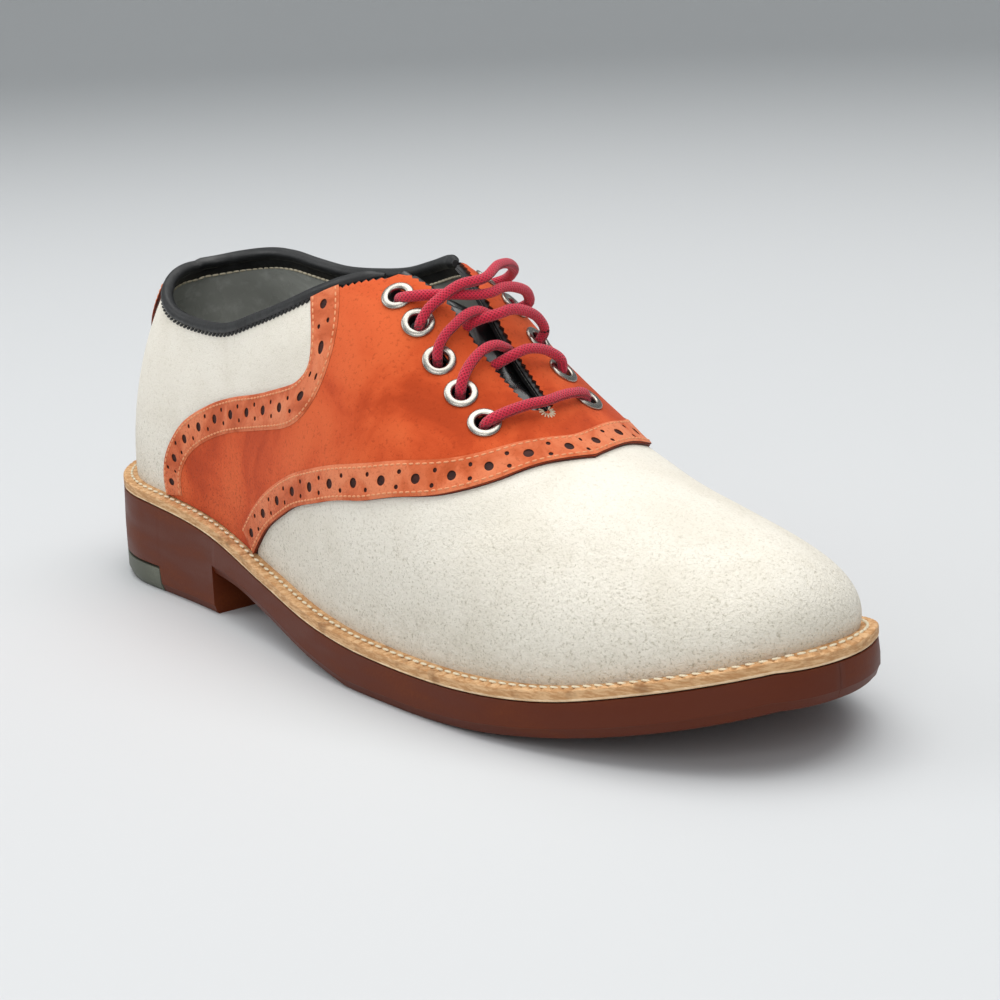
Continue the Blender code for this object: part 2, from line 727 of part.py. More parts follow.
def make_laces():
    """A bar over the bottom pair, and a crossing over each pair above it."""
    over = 3 * CLEAR + OVERLAY + EYELET_HIGH + LACE_RADIUS
    bottom = eyelet_station(EYELET_PAIRS - 1)
    route = []
    for distance in np.linspace(-EYELET_SPREAD, EYELET_SPREAD, 13):
        side = LATERAL if distance < 0 else MEDIAL
        rise = LACE_ARCH * 0.35 * math.cos(math.pi * distance / (2 * EYELET_SPREAD))
        route.append(on_last(bottom, side, abs(distance), over + rise)[0])
    tube("lace_bar", route)
    pitch = (EYELET_LAST - EYELET_FIRST) / (EYELET_PAIRS - 1)
    for pair in range(EYELET_PAIRS - 1):
        station = eyelet_station(pair)
        strands = []
        for side, lower in ((LATERAL, CROSSING_LOWER), (MEDIAL, 0.0)):
            route = []
            for step, distance in enumerate(np.linspace(-EYELET_SPREAD, EYELET_SPREAD * 0.62, 13)):
                part = step / 12
                here = side if distance < 0 else -side
                lift = over + (LACE_ARCH - lower) * math.sin(math.pi * min(1.0, part * 1.1)) ** 0.8
                route.append(on_last(station - pitch * 0.62 * part, here, abs(distance), lift)[0])
            strands.append(route)
        first = tube(f"lace_crossing_{pair + 1}", strands[0])
        second = tube(f"lace_strand_{pair + 1}", strands[1])
        second.hide_render = True
        second.display_type = "WIRE"
        join = first.modifiers.new("join strands", "BOOLEAN")
        join.operation = "UNION"
        join.solver = "EXACT"
        join.object = second


def main():
    for old in list(bpy.data.objects):
        bpy.data.objects.remove(old)
    make_outsole()
    make_heel_tip()
    make_welt()
    make_insole()
    skin = Skin()
    make_upper(skin)
    make_overlays(skin)
    make_binding(skin)
    make_tongue()
    make_eyelets()
    make_laces()


main()
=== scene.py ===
"""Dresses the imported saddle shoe: its leathers, punching, thread, eyelets, laces, welt and rubber.

Metres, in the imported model's frame: +X towards the toe, +Y to the wearer's left, which is the inner
side of this right shoe, and +Z up. Every piece of the upper lies on one surface, the last with the
folds of the leather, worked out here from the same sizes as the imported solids.
"""
from __future__ import annotations

import logging
import math
from dataclasses import dataclass
from enum import Enum, IntEnum

import bpy
import numpy as np
from mathutils import Matrix, Vector, geometry
from mathutils.bvhtree import BVHTree

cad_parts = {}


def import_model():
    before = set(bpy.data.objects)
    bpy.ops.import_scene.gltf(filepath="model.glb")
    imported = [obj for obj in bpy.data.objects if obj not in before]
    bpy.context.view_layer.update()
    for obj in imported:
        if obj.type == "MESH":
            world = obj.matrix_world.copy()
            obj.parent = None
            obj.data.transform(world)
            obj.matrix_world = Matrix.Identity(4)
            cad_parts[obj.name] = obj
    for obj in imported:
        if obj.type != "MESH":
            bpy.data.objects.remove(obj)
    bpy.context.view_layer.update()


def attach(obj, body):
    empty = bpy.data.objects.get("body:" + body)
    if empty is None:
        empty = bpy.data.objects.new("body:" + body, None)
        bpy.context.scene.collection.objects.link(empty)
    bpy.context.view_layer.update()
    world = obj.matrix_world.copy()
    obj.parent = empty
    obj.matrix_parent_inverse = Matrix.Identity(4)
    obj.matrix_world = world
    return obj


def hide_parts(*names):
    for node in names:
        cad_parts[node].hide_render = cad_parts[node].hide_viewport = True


LOG = logging.getLogger("saddle_shoe")
Array = np.ndarray
MM = 0.001


class Side(IntEnum):
    """The two halves of the shoe, by the sign of their Y."""

    LATERAL = -1
    MEDIAL = 1


class Seam(IntEnum):
    """The lines that divide the upper's mesh, from the heel to the toe."""

    HEEL = 0
    TAB = 1
    SADDLE_BACK = 2
    CORNER = 3
    THROAT = 4
    SADDLE_FRONT = 5
    TOE = 6


class Slot(str, Enum):
    """Material slots of the record, named after the pieces' finishes."""

    SUEDE = "white_suede"
    NUBUCK = "coral_nubuck"
    BLACK = "black_leather"
    BRICK = "brick_rubber"
    GREY = "grey_rubber"
    WELT = "veg_tan_leather"
    INSOLE = "insole_leather"
    NICKEL = "nickel"
    CORD = "crimson_cord"


# The last's sections, as shares: see Last for what each column scales.
SECTION_NAMES = ("along", "swing", "lateral", "medial", "heel", "toe", "crest", "ridge", "lean", "rise", "crown")
SECTIONS = np.array([
    [0.00, 0.000, 0.322, 0.322, 1.000, 0.000, 1.040, 0.000, 0.014, 0.50, 0.58],
    [0.12, 0.000, 0.325, 0.322, 0.936, 0.000, 1.045, 0.000, 0.010, 0.50, 0.52],
    [0.25, 0.000, 0.328, 0.315, 0.743, 0.000, 1.050, 0.000, 0.014, 0.50, 0.64],
    [0.38, 0.000, 0.370, 0.315, 0.348, 0.000, 1.045, -0.008, 0.026, 0.50, 0.78],
    [0.50, 0.005, 0.432, 0.365, 0.110, 0.000, 0.990, -0.017, 0.035, 0.48, 0.82],
    [0.56, 0.015, 0.455, 0.400, 0.037, 0.000, 0.905, -0.027, 0.040, 0.50, 0.86],
    [0.62, 0.026, 0.465, 0.430, 0.000, 0.000, 0.760, -0.036, 0.045, 0.52, 0.86],
    [0.72, 0.050, 0.475, 0.455, 0.000, 0.020, 0.590, -0.038, 0.045, 0.50, 0.74],
    [0.82, 0.078, 0.462, 0.452, 0.000, 0.170, 0.520, -0.020, 0.045, 0.46, 0.56],
    [0.92, 0.100, 0.445, 0.435, 0.000, 0.560, 0.460, 0.000, 0.035, 0.48, 0.54],
    [1.00, 0.105, 0.435, 0.425, 0.000, 0.930, 0.434, 0.000, 0.030, 0.52, 0.54],
])
ARCH = np.array([[0.24, 1.00], [0.32, 0.86], [0.38, 0.60], [0.44, 0.36], [0.50, 0.15], [0.55, 0.00]])
TOP_LINE = np.array([
    [0.03, 0.838, 0.838],
    [0.06, 0.836, 0.840],
    [0.09, 0.800, 0.855],
    [0.14, 0.756, 0.870],
    [0.21, 0.740, 0.857],
    [0.26, 0.748, 0.845],
    [0.32, 0.795, 0.855],
    [0.38, 0.848, 0.876],
    [0.43, 0.897, 0.910],
    [0.47, 0.932, 0.938],
    [0.50, 0.950, 0.952],
    [0.60, 0.970, 0.970],
])
# Stations of the seams at each row, from the feather line up.
ROWS = np.array([0.00, 0.10, 0.20, 0.32, 0.44, 0.56, 0.68, 0.78, 0.86, 0.92, 0.962, 1.00])
TAB_EDGE = np.array([0.006, 0.006, 0.006, 0.006, 0.006, 0.006, 0.009, 0.017, 0.024, 0.028, 0.030, 0.031])
SADDLE_BACK = np.array([0.152, 0.149, 0.152, 0.165, 0.187, 0.228, 0.288, 0.364, 0.423, 0.437, 0.421, 0.391])
SADDLE_FRONT = np.array([0.338, 0.356, 0.377, 0.412, 0.450, 0.503, 0.560, 0.613, 0.667, 0.700, 0.716, 0.735])


def smooth(at: Array | float, known: Array, values: Array) -> Array:
    """Read a smooth curve through a table's rows.

    Args:
        at: Places to read.
        known: The rows' places, rising.
        values: The rows' values.

    Returns:
        The values at those places.
    """
    at = np.clip(np.asarray(at, float), known[0], known[-1])
    step = np.diff(known)
    rate = np.diff(values) / step
    inner = (rate[:-1] * step[1:] + rate[1:] * step[:-1]) / (step[1:] + step[:-1])
    slope = np.concatenate([rate[:1], inner, rate[-1:]])
    row = np.clip(np.searchsorted(known, at, side="right") - 1, 0, len(known) - 2)
    part = (at - known[row]) / step[row]
    start = values[row] * (1 + 2 * part) * (1 - part) ** 2 + slope[row] * step[row] * part * (1 - part) ** 2
    return start + values[row + 1] * part ** 2 * (3 - 2 * part) - slope[row + 1] * step[row] * part ** 2 * (1 - part)


def ease(value: Array | float) -> Array:
    """A smooth step from 0 to 1."""
    part = np.clip(value, 0, 1)
    return part * part * (3 - 2 * part)


def unit(vectors: Array) -> Array:
    """The vectors, made one long."""
    return vectors / np.maximum(np.linalg.norm(vectors, axis=-1, keepdims=True), 1e-12)


def run_length(points: Array) -> Array:
    """Distance along a line of points, from its first one."""
    return np.concatenate([[0.0], np.cumsum(np.linalg.norm(np.diff(points, axis=0), axis=1))])


def respace(points: Array, count: int) -> Array:
    """The same line of points with an even spacing."""
    run = run_length(points)
    at = np.linspace(0, run[-1], count)
    return read_rows(points, at, run)


def spline(points: Array, count: int) -> Array:
    """A smooth line through a few points, evenly spaced."""
    run = run_length(points)
    at = np.linspace(0, run[-1], count * 3)
    return respace(np.stack([smooth(at, run, points[:, axis]) for axis in range(3)], -1), count)


@dataclass(frozen=True)
class Last:
    """The form that the upper is pulled over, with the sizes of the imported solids.

    A station runs from the heel's back (0) to the toe's tip (1), and a height share from the feather
    line (0), where the upper meets the welt, to the crest (1).
    """

    length: float = 0.296
    ball_width: float = 0.098
    instep_height: float = 0.118
    heel_seat: float = 0.030
    heel_reach: float = 0.036
    heel_round: float = 0.115
    toe_round: float = 0.28
    toe_power: float = 2.3
    crest_back: float = 0.20
    crest_front: float = 0.93
    forefoot_thick: float = 0.0113
    toe_spring: float = 0.017
    welt_thick: float = 0.0034
    clear: float = 0.0003

    def section(self, name: str, station: Array | float) -> Array:
        """One column of the section table at the given stations."""
        return smooth(station, SECTIONS[:, 0], SECTIONS[:, SECTION_NAMES.index(name)])

    def station_at(self, distance: Array | float) -> Array:
        """Station of a distance along the floor."""
        return (np.asarray(distance) + self.heel_reach) / self.length

    def bed(self, station: Array | float) -> Array:
        """Height of the rubber's top."""
        lift = self.section("heel", station) * (self.heel_seat - self.forefoot_thick)
        return self.forefoot_thick + lift + self.section("toe", station) * self.toe_spring

    def feather(self, station: Array, side: Side) -> Array:
        """Points of the feather line."""
        heel = np.clip(1 - station / self.heel_round, 0, 1)
        toe = np.clip((station - 1 + self.toe_round) / self.toe_round, 0, 1)
        ends = np.sqrt(1 - heel ** 2) * (1 - toe ** self.toe_power) ** (1 / self.toe_power)
        half = self.section("lateral" if side < 0 else "medial", station)
        across = (self.section("swing", station) + side * half * ends) * self.ball_width
        height = self.bed(station) + self.welt_thick + 2 * self.clear
        return np.stack([station * self.length - self.heel_reach, across, height], -1)

    def crest(self, share: Array) -> Array:
        """Points of the line along the top."""
        across = (self.section("swing", share) + self.section("ridge", share)) * self.ball_width
        return np.stack([share * self.length - self.heel_reach, across,
                         self.section("crest", share) * self.instep_height], -1)

    def point(self, station: Array, height: Array, side: Side) -> Array:
        """Points of the surface.

        Args:
            station: Stations.
            height: Height shares, of a shape that goes with the stations.
            side: The half of the shoe.

        Returns:
            Points, with a last axis of three.
        """
        station, height = np.broadcast_arrays(np.asarray(station, float), np.asarray(height, float))
        foot = self.feather(station, side)
        share = self.crest_back + (self.crest_front - self.crest_back) * station
        top = self.crest(share)
        fore, aft = self.crest(share + 0.005), self.crest(share - 0.005)
        slope = (fore - aft)[..., 2] / (fore - aft)[..., 0]
        out = (foot - top)[..., :2]
        reach = np.linalg.norm(out, axis=-1, keepdims=True)
        out = out / np.maximum(reach, 1e-9)
        lean = self.section("lean", station)[..., None] * self.ball_width
        rise = self.section("rise", station) * (top - foot)[..., 2]
        low = foot + np.concatenate([out * lean, rise[..., None]], -1)
        crown = self.section("crown", station)[..., None] * reach
        high = top + np.concatenate([out, (out[..., 0] * slope)[..., None]], -1) * crown
        part = height[..., None]
        return ((1 - part) ** 3 * foot + 3 * (1 - part) ** 2 * part * low
                + 3 * (1 - part) * part ** 2 * high + part ** 3 * top)

    def share_at_arc(self, station: float, side: Side, distance: float) -> float:
        """Height share at a distance from the crest, measured round the section."""
        shares = np.linspace(1, 0, 301)
        return float(np.interp(distance, run_length(self.point(station, shares, side)), shares))

    def beside_crest(self, station: float, distance: float) -> Array:
        """The point at a signed distance from the crest, minus on the outer side."""
        side = Side.LATERAL if distance < 0 else Side.MEDIAL
        return self.point(station, self.share_at_arc(station, side, abs(distance)), side)


@dataclass(frozen=True)
class Fold:
    """A soft trough in the leather, with low ridges beside it.

    Attributes:
        side: The half of the shoe.
        line: Stations and height shares that it runs through.
        depth: How deep its middle is, in millimetres.
        width: Half of its width, in millimetres.
    """

    side: Side
    line: tuple[tuple[float, float], ...]
    depth: float
    width: float

    def offset(self, last: Last, points: Array) -> Array:
        """How far the fold moves each point along its normal, in metres."""
        rows = np.array(self.line)
        at = np.linspace(0, len(rows) - 1, 24)
        known = np.arange(len(rows), dtype=float)
        line = last.point(smooth(at, known, rows[:, 0]), smooth(at, known, rows[:, 1]), self.side)
        near = np.full(len(points), np.inf)
        taper = np.zeros(len(points))
        close = np.linalg.norm(points - line.mean(0), axis=1) < np.ptp(line, axis=0).max() + 6 * self.width * MM
        for step in range(len(line) - 1):
            start, along = line[step], line[step + 1] - line[step]
            part = np.clip((points[close] - start) @ along / (along @ along), 0, 1)
            gap = np.linalg.norm(points[close] - start - part[:, None] * along, axis=1)
            better = gap < near[close]
            where = np.nonzero(close)[0][better]
            near[where] = gap[better]
            taper[where] = np.sin(math.pi * (step + part[better]) / (len(line) - 1)) ** 0.8
        across = near / (self.width * MM)
        shape = -np.exp(-across ** 2) + 0.4 * np.exp(-(across - 1.9) ** 2)
        return shape * taper * self.depth * MM


class Skin:
    """The upper's outer face: a fine mesh of both halves with the leather's folds.

    Attributes:
        COUNTS: Columns from each seam to the next.
        LEVELS: Rows from the feather line to the top.
        SIDE_SHARE: Share of the rows' heights that follows the side, not the top edge.
        ROW_POWER: How late the rows start to follow the even top edge.
        EDGE_POWER: How late they start to follow the real one.
        CORNER_LOW: Where the corner's column starts below, as a share of the saddle.
        THROAT: Station of the throat's end.
        SLIT: Half width of the throat at its end, and how much wider it is at the first eyelet.
        EYELETS: Stations of the first and the last eyelet.
        PAIRS: Pairs of eyelets.
        SPREAD: Distance of an eyelet from the crest.
        ROUND: Length over which the corner is rounded.
        ROUND_DEPTH: Depth of that rounding, as a share of its length.
        GIRTH: Length of a section from the feather line to the crest.
    """

    COUNTS = (8, 50, 26, 54, 10, 84)
    LEVELS = 76
    SIDE_SHARE = 0.44
    ROW_POWER = 8
    EDGE_POWER = 20
    CORNER_LOW = 0.34
    THROAT = 0.650
    SLIT = (0.0025, 0.0070)
    EYELETS = (0.491, 0.645)
    PAIRS = 5
    SPREAD = 0.0185
    ROUND = 0.0075
    ROUND_DEPTH = 0.42
    GIRTH = 0.095

    def __init__(self, last: Last, folds: tuple[Fold, ...]) -> None:
        """Build the mesh.

        Args:
            last: The form under the leather.
            folds: Its troughs.
        """
        self.last = last
        self.marks = np.concatenate([[0], np.cumsum(self.COUNTS)])
        grids = {side: self.half(side) for side in Side}
        shape = grids[Side.LATERAL].shape[:2]
        shared = np.zeros(shape, bool)
        shared[:, [0, -1]] = True
        shared[-1, self.marks[Seam.THROAT]:] = True
        self.index = {Side.LATERAL: np.arange(shape[0] * shape[1]).reshape(shape)}
        medial = self.index[Side.LATERAL].copy()
        medial[~shared] = medial.size + np.arange((~shared).sum())
        self.index[Side.MEDIAL] = medial
        self.points = np.concatenate([grids[Side.LATERAL].reshape(-1, 3), grids[Side.MEDIAL][~shared]])
        self.normals = self.vertex_normals()
        shift = sum(fold.offset(last, self.points) for fold in folds)
        self.points = self.points + self.normals * shift[:, None]
        self.normals = self.vertex_normals()
        self.faces = self.quads(Seam.HEEL, Seam.TOE)
        self.tree = BVHTree.FromPolygons(self.points.tolist(), self.faces.tolist())

    def top_line(self, station: float, side: Side) -> float:
        """Height share where a section crosses the top line."""
        shares = np.linspace(0.1, 1, 451)
        curve = self.last.point(station, shares, side)
        heights = TOP_LINE[:, 1 if side < 0 else 2] * self.last.instep_height
        line = smooth(self.last.station_at(curve[:, 0]), TOP_LINE[:, 0], heights)
        over = np.nonzero(curve[:, 2] >= line)[0]
        if not len(over):
            return 1.0
        gap = curve[:, 2] - line
        first = max(over[0], 1)
        return float(np.interp(0, gap[first - 1:first + 1], shares[first - 1:first + 1]))

    def slit(self, station: float, side: Side) -> float:
        """Height share of the facing's edge beside the throat."""
        part = np.clip((self.THROAT - station) / (self.THROAT - self.EYELETS[0]), 0, 1.4)
        return self.last.share_at_arc(station, side, self.SLIT[0] + (self.SLIT[1] - self.SLIT[0]) * part)

    def corner(self, side: Side) -> float:
        """Station where the top line meets the facing's edge."""
        low, high = SADDLE_BACK[-1], self.THROAT
        for _ in range(30):
            middle = (low + high) / 2
            if self.top_line(middle, side) < self.slit(middle, side):
                low = middle
            else:
                high = middle
        return (low + high) / 2

    def half(self, side: Side) -> Array:
        """Points of one half, rows by columns, with its columns along the seams."""
        fine = np.linspace(0, 1, 2001)
        share = self.SIDE_SHARE * fine + (1 - self.SIDE_SHARE) * fine ** self.ROW_POWER
        rows = np.interp(np.linspace(0, 1, self.LEVELS), share, fine)

        def angle(station: Array | float) -> Array:
            """Stations are spread by a cosine, so that they crowd at both tips."""
            return np.arccos(1 - 2 * np.asarray(station, float)) / math.pi

        tab, back, front = (smooth(rows, ROWS, angle(edge)) for edge in (TAB_EDGE, SADDLE_BACK, SADDLE_FRONT))
        corner = self.corner(side)
        span = front[-1] - back[-1]
        late = rows ** self.ROW_POWER
        to_corner = self.CORNER_LOW + ((angle(corner) - back[-1]) / span - self.CORNER_LOW) * late
        to_throat = (angle(self.THROAT) - back[-1]) / span
        guides = [np.zeros_like(rows), tab, back, back + (front - back) * to_corner,
                  back + (front - back) * to_throat, front, np.ones_like(rows)]
        angles = [guides[0]]
        for start, end, count in zip(guides[:-1], guides[1:], self.COUNTS):
            angles += [start + (end - start) * step / count for step in range(1, count + 1)]
        stations = (1 - np.cos(math.pi * np.stack(angles, 1))) / 2
        tops = np.ones(stations.shape[1])
        for column in range(self.marks[Seam.THROAT]):
            on_collar = column <= self.marks[Seam.CORNER]
            tops[column] = self.slit(stations[-1, column], side)
            if on_collar:
                tops[column] = min(tops[column], self.top_line(stations[-1, column], side))
        edge = self.last.point(stations[-1], tops, side)
        run = run_length(edge)
        away = (run - run[self.marks[Seam.CORNER]]) / self.ROUND
        depth = self.ROUND * self.ROUND_DEPTH / self.GIRTH
        tops[:self.marks[Seam.THROAT]] -= (depth * np.exp(-away ** 2))[:self.marks[Seam.THROAT]]
        even = tops.copy()
        facing = slice(self.marks[Seam.SADDLE_BACK], self.marks[Seam.THROAT] + 1)
        even[facing] = np.linspace(even[facing][0], even[facing][-1], len(even[facing]))
        rows = rows[:, None]
        heights = (self.SIDE_SHARE * rows + (even - self.SIDE_SHARE) * rows ** self.ROW_POWER
                   + (tops - even) * rows ** self.EDGE_POWER)
        return self.last.point(stations, heights, side)

    def quads(self, first: Seam, end: Seam) -> Array:
        """Faces of both halves between two seams, wound to point outwards."""
        found = []
        for side in Side:
            number = self.index[side][:, self.marks[first]:self.marks[end] + 1]
            cells = np.stack([number[:-1, :-1], number[:-1, 1:], number[1:, 1:], number[1:, :-1]], -1)
            cells = cells.reshape(-1, 4)
            found.append(cells if side < 0 else cells[:, ::-1])
        return np.concatenate(found)

    def vertex_normals(self) -> Array:
        """Normals of the mesh's points, out of the shoe."""
        faces = self.quads(Seam.HEEL, Seam.TOE)
        a, b, c, d = (self.points[faces[:, corner]] for corner in range(4))
        facing = np.cross(c - a, d - b)
        normals = np.zeros_like(self.points)
        for corner in range(4):
            np.add.at(normals, faces[:, corner], facing)
        return unit(normals)

    def settle(self, points: Array) -> tuple[Array, Array]:
        """Move points to the nearest place on the skin.

        Args:
            points: Points near the skin.

        Returns:
            The places, and the skin's normals there.
        """
        places, normals = np.empty_like(points), np.empty_like(points)
        for number, point in enumerate(points):
            found, _, face, _ = self.tree.find_nearest(Vector(point))
            corners = self.faces[face]
            weight = 1 / (np.linalg.norm(self.points[corners] - found, axis=1) + 1e-6)
            places[number] = found
            normals[number] = weight @ self.normals[corners]
        return places, unit(normals)

    def seam_line(self, seam: Seam, side: Side) -> Array:
        """Points of a seam on one half, from the feather line up."""
        return self.points[self.index[side][:, self.marks[seam]]]

    def eyelet(self, pair: float, distance: float) -> tuple[Array, Array]:
        """Place and normal beside the crest, level with an eyelet pair.

        Args:
            pair: Number of the pair from the top, or a place between two pairs.
            distance: Signed distance from the crest, minus on the outer side.

        Returns:
            The point on the skin, and the skin's normal there.
        """
        station = self.EYELETS[0] + (self.EYELETS[1] - self.EYELETS[0]) * pair / (self.PAIRS - 1)
        point, normal = self.settle(self.last.beside_crest(station, distance)[None])
        return point[0], normal[0]

    def eyelet_places(self) -> list[tuple[Side, int, Array, Array]]:
        """Side, number, place and normal of each eyelet."""
        return [(side, pair, *self.eyelet(pair, side * self.SPREAD)) for side in Side for pair in range(self.PAIRS)]

    def without_holes(self, faces: Array, radius: float) -> Array:
        """Which faces are clear of the eyelets' holes."""
        centres = self.points[faces].mean(1)
        kept = np.ones(len(faces), bool)
        for _, _, place, _ in self.eyelet_places():
            kept &= np.linalg.norm(centres - place, axis=1) > radius
        return kept


# Meshes

def close_sheet(lower: Array, upper: Array, faces: Array) -> tuple[Array, list[list[int]], int]:
    """Make a closed solid between two copies of an open sheet.

    Args:
        lower: Points of the sheet's lower face.
        upper: Points of its upper face.
        faces: The upper face's corners, wound to point up.

    Returns:
        Points, faces, and the number of the first face of its edges.
    """
    count = len(upper)
    starts = faces.reshape(-1)
    ends = np.roll(faces, -1, axis=1).reshape(-1)
    open_edge = ~np.isin(starts * count + ends, ends * count + starts)
    starts, ends = starts[open_edge], ends[open_edge]
    walls = np.stack([ends, starts, starts + count, ends + count], 1)
    listed = faces.tolist() + (faces[:, ::-1] + count).tolist()
    return np.concatenate([upper, lower]), listed + walls.tolist(), len(listed)


def grid_faces(rows: int, columns: int, wrap: bool = False) -> Array:
    """Corners of a grid of quads, closed into a tube along its rows if wrap is set."""
    number = np.arange(rows * columns).reshape(rows, columns)
    if wrap:
        number = np.concatenate([number, number[:, :1]], 1)
    return np.stack([number[:-1, :-1], number[:-1, 1:], number[1:, 1:], number[1:, :-1]], -1).reshape(-1, 4)


@dataclass
class Piece:
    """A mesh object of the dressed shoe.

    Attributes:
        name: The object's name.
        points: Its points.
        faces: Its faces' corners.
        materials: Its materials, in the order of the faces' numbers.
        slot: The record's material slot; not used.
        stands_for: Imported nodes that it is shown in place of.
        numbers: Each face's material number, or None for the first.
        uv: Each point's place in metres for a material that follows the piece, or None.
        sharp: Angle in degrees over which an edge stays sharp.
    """

    name: str
    points: Array
    faces: list
    materials: list
    slot: Slot
    stands_for: tuple[str, ...] = ()
    numbers: Array | None = None
    uv: Array | None = None
    sharp: float = 50.0

    def build(self) -> None:
        """Make the object, set it on its body and report it."""
        mesh = bpy.data.meshes.new(self.name)
        mesh.from_pydata(np.asarray(self.points).tolist(), [], [list(face) for face in self.faces])
        for material in self.materials:
            mesh.materials.append(material)
        if self.numbers is not None:
            mesh.polygons.foreach_set("material_index", np.asarray(self.numbers, np.int32))
        if self.uv is not None:
            corners = np.empty(len(mesh.loops), np.int32)
            mesh.loops.foreach_get("vertex_index", corners)
            layer = mesh.uv_layers.new(name="UVMap")
            layer.data.foreach_set("uv", np.asarray(self.uv, np.float32)[corners].ravel())
        mesh.validate()
        mesh.shade_smooth()
        mesh.set_sharp_from_angle(angle=math.radians(self.sharp))
        piece = bpy.data.objects.new(self.name, mesh)
        bpy.context.scene.collection.objects.link(piece)
        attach(piece, "root")
        if self.stands_for:
            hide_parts(*self.stands_for)
        LOG.info("%s: %d faces", self.name, len(mesh.polygons))


def outward(faces: Array, points: Array, normals: Array) -> Array:
    """The faces of a sheet, turned over if they are wound against its normals."""
    first, second, last = (points[faces[:, corner]] for corner in (0, 1, -1))
    facing = np.cross(second - first, last - first)
    return faces[:, ::-1] if np.sum(facing * normals[faces[:, 0]]) < 0 else faces


def read_rows(line: Array, at: Array, run: Array) -> Array:
    """Rows of three values, read at places along a run."""
    return np.stack([np.interp(at, run, line[:, axis]) for axis in range(3)], -1)


def ring_ends(around: int, rings: int) -> list[list[int]]:
    """The two flat faces that close a tube of rings."""
    return [list(range(around))[::-1], [(rings - 1) * around + step for step in range(around)]]


def repeat(shape: tuple[Array, list], places: list[Matrix]) -> tuple[Array, list]:
    """Join copies of one small shape.

    Args:
        shape: Its points and faces.
        places: Where each copy goes.

    Returns:
        Points and faces of all the copies.
    """
    points, faces = shape
    count = len(points)
    turned = [points @ np.array(place.to_3x3()).T + np.array(place.translation) for place in places]
    joined = [[corner + count * number for corner in face] for number in range(len(places)) for face in faces]
    return np.concatenate(turned), joined


def frame_at(place: Array, forward: Array, up: Array) -> Matrix:
    """A placing with its Z up and its X as near forward as that allows."""
    over = unit(up)
    across = unit(np.cross(over, forward))
    ahead = np.cross(across, over)
    matrix = Matrix(np.stack([ahead, across, over], 1).tolist()).to_4x4()
    matrix.translation = Vector(place)
    return matrix


def bead(length: float, width: float, height: float, around: int = 8, rings: int = 5) -> tuple[Array, list]:
    """A rounded grain such as one stitch, along X."""
    points = [[-length / 2, 0, 0]]
    for ring in range(1, rings):
        turn = math.pi * ring / rings
        for step in range(around):
            angle = 2 * math.pi * step / around
            wide = math.sin(turn) ** 0.6
            points.append([-length / 2 * math.cos(turn), width / 2 * wide * math.cos(angle),
                           height / 2 * wide * math.sin(angle)])
    points.append([length / 2, 0, 0])
    faces = []
    for step in range(around):
        after = (step + 1) % around
        faces.append([0, 1 + after, 1 + step])
        for ring in range(rings - 2):
            base = 1 + ring * around
            faces.append([base + step, base + after, base + around + after, base + around + step])
        last_ring = 1 + (rings - 2) * around
        faces.append([last_ring + step, last_ring + after, len(points) - 1])
    return np.array(points), faces


def lathe(profile: list[tuple[float, float]], around: int) -> tuple[Array, list]:
    """A ring turned round Z from a closed profile of radius and height, wound to point out."""
    angles = 2 * math.pi * np.arange(around) / around
    rings = np.array(profile)
    points = np.stack([np.outer(np.cos(angles), rings[:, 0]), np.outer(np.sin(angles), rings[:, 0]),
                       np.tile(rings[:, 1], (around, 1))], -1).reshape(-1, 3)
    count = len(profile)
    faces = []
    for step in range(around):
        after = (step + 1) % around
        for edge in range(count):
            follow = (edge + 1) % count
            faces.append([step * count + edge, after * count + edge, after * count + follow, step * count + follow])
    return points, faces


def tube(path: Array, radius: float | Array, around: int = 14) -> tuple[Array, list, Array]:
    """A round cord along a path, with rounded ends.

    Args:
        path: Points of its middle line.
        radius: Its radius, or one for each point.
        around: Sides of its section.

    Returns:
        Points, faces and each point's place along and round it, in metres.
    """
    along = unit(np.gradient(path, axis=0))
    guide = np.array([0.31, -0.22, 0.92])
    across = unit(np.cross(along, guide))
    over = np.cross(across, along)
    angles = 2 * math.pi * np.arange(around) / around
    wide = np.broadcast_to(radius, len(path)).copy()
    wide[[0, -1]] *= 0.35
    wide[[1, -2]] *= 0.85
    ring = np.cos(angles)[None, :, None] * across[:, None] + np.sin(angles)[None, :, None] * over[:, None]
    points = path[:, None] + ring * wide[:, None, None]
    run = run_length(path)
    uv = np.stack(np.meshgrid(run, angles * np.mean(wide), indexing="ij"), -1).reshape(-1, 2)
    faces = grid_faces(len(path), around, wrap=True)[:, ::-1].tolist()
    faces += [end[::-1] for end in ring_ends(around, len(path))]
    return points.reshape(-1, 3), faces, uv


# Materials

def linear(colour: str) -> tuple[float, float, float, float]:
    """An sRGB hex colour as linear values."""
    parts = [int(colour[place:place + 2], 16) / 255 for place in (1, 3, 5)]
    return (*(part / 12.92 if part <= 0.04045 else ((part + 0.055) / 1.055) ** 2.4 for part in parts), 1.0)


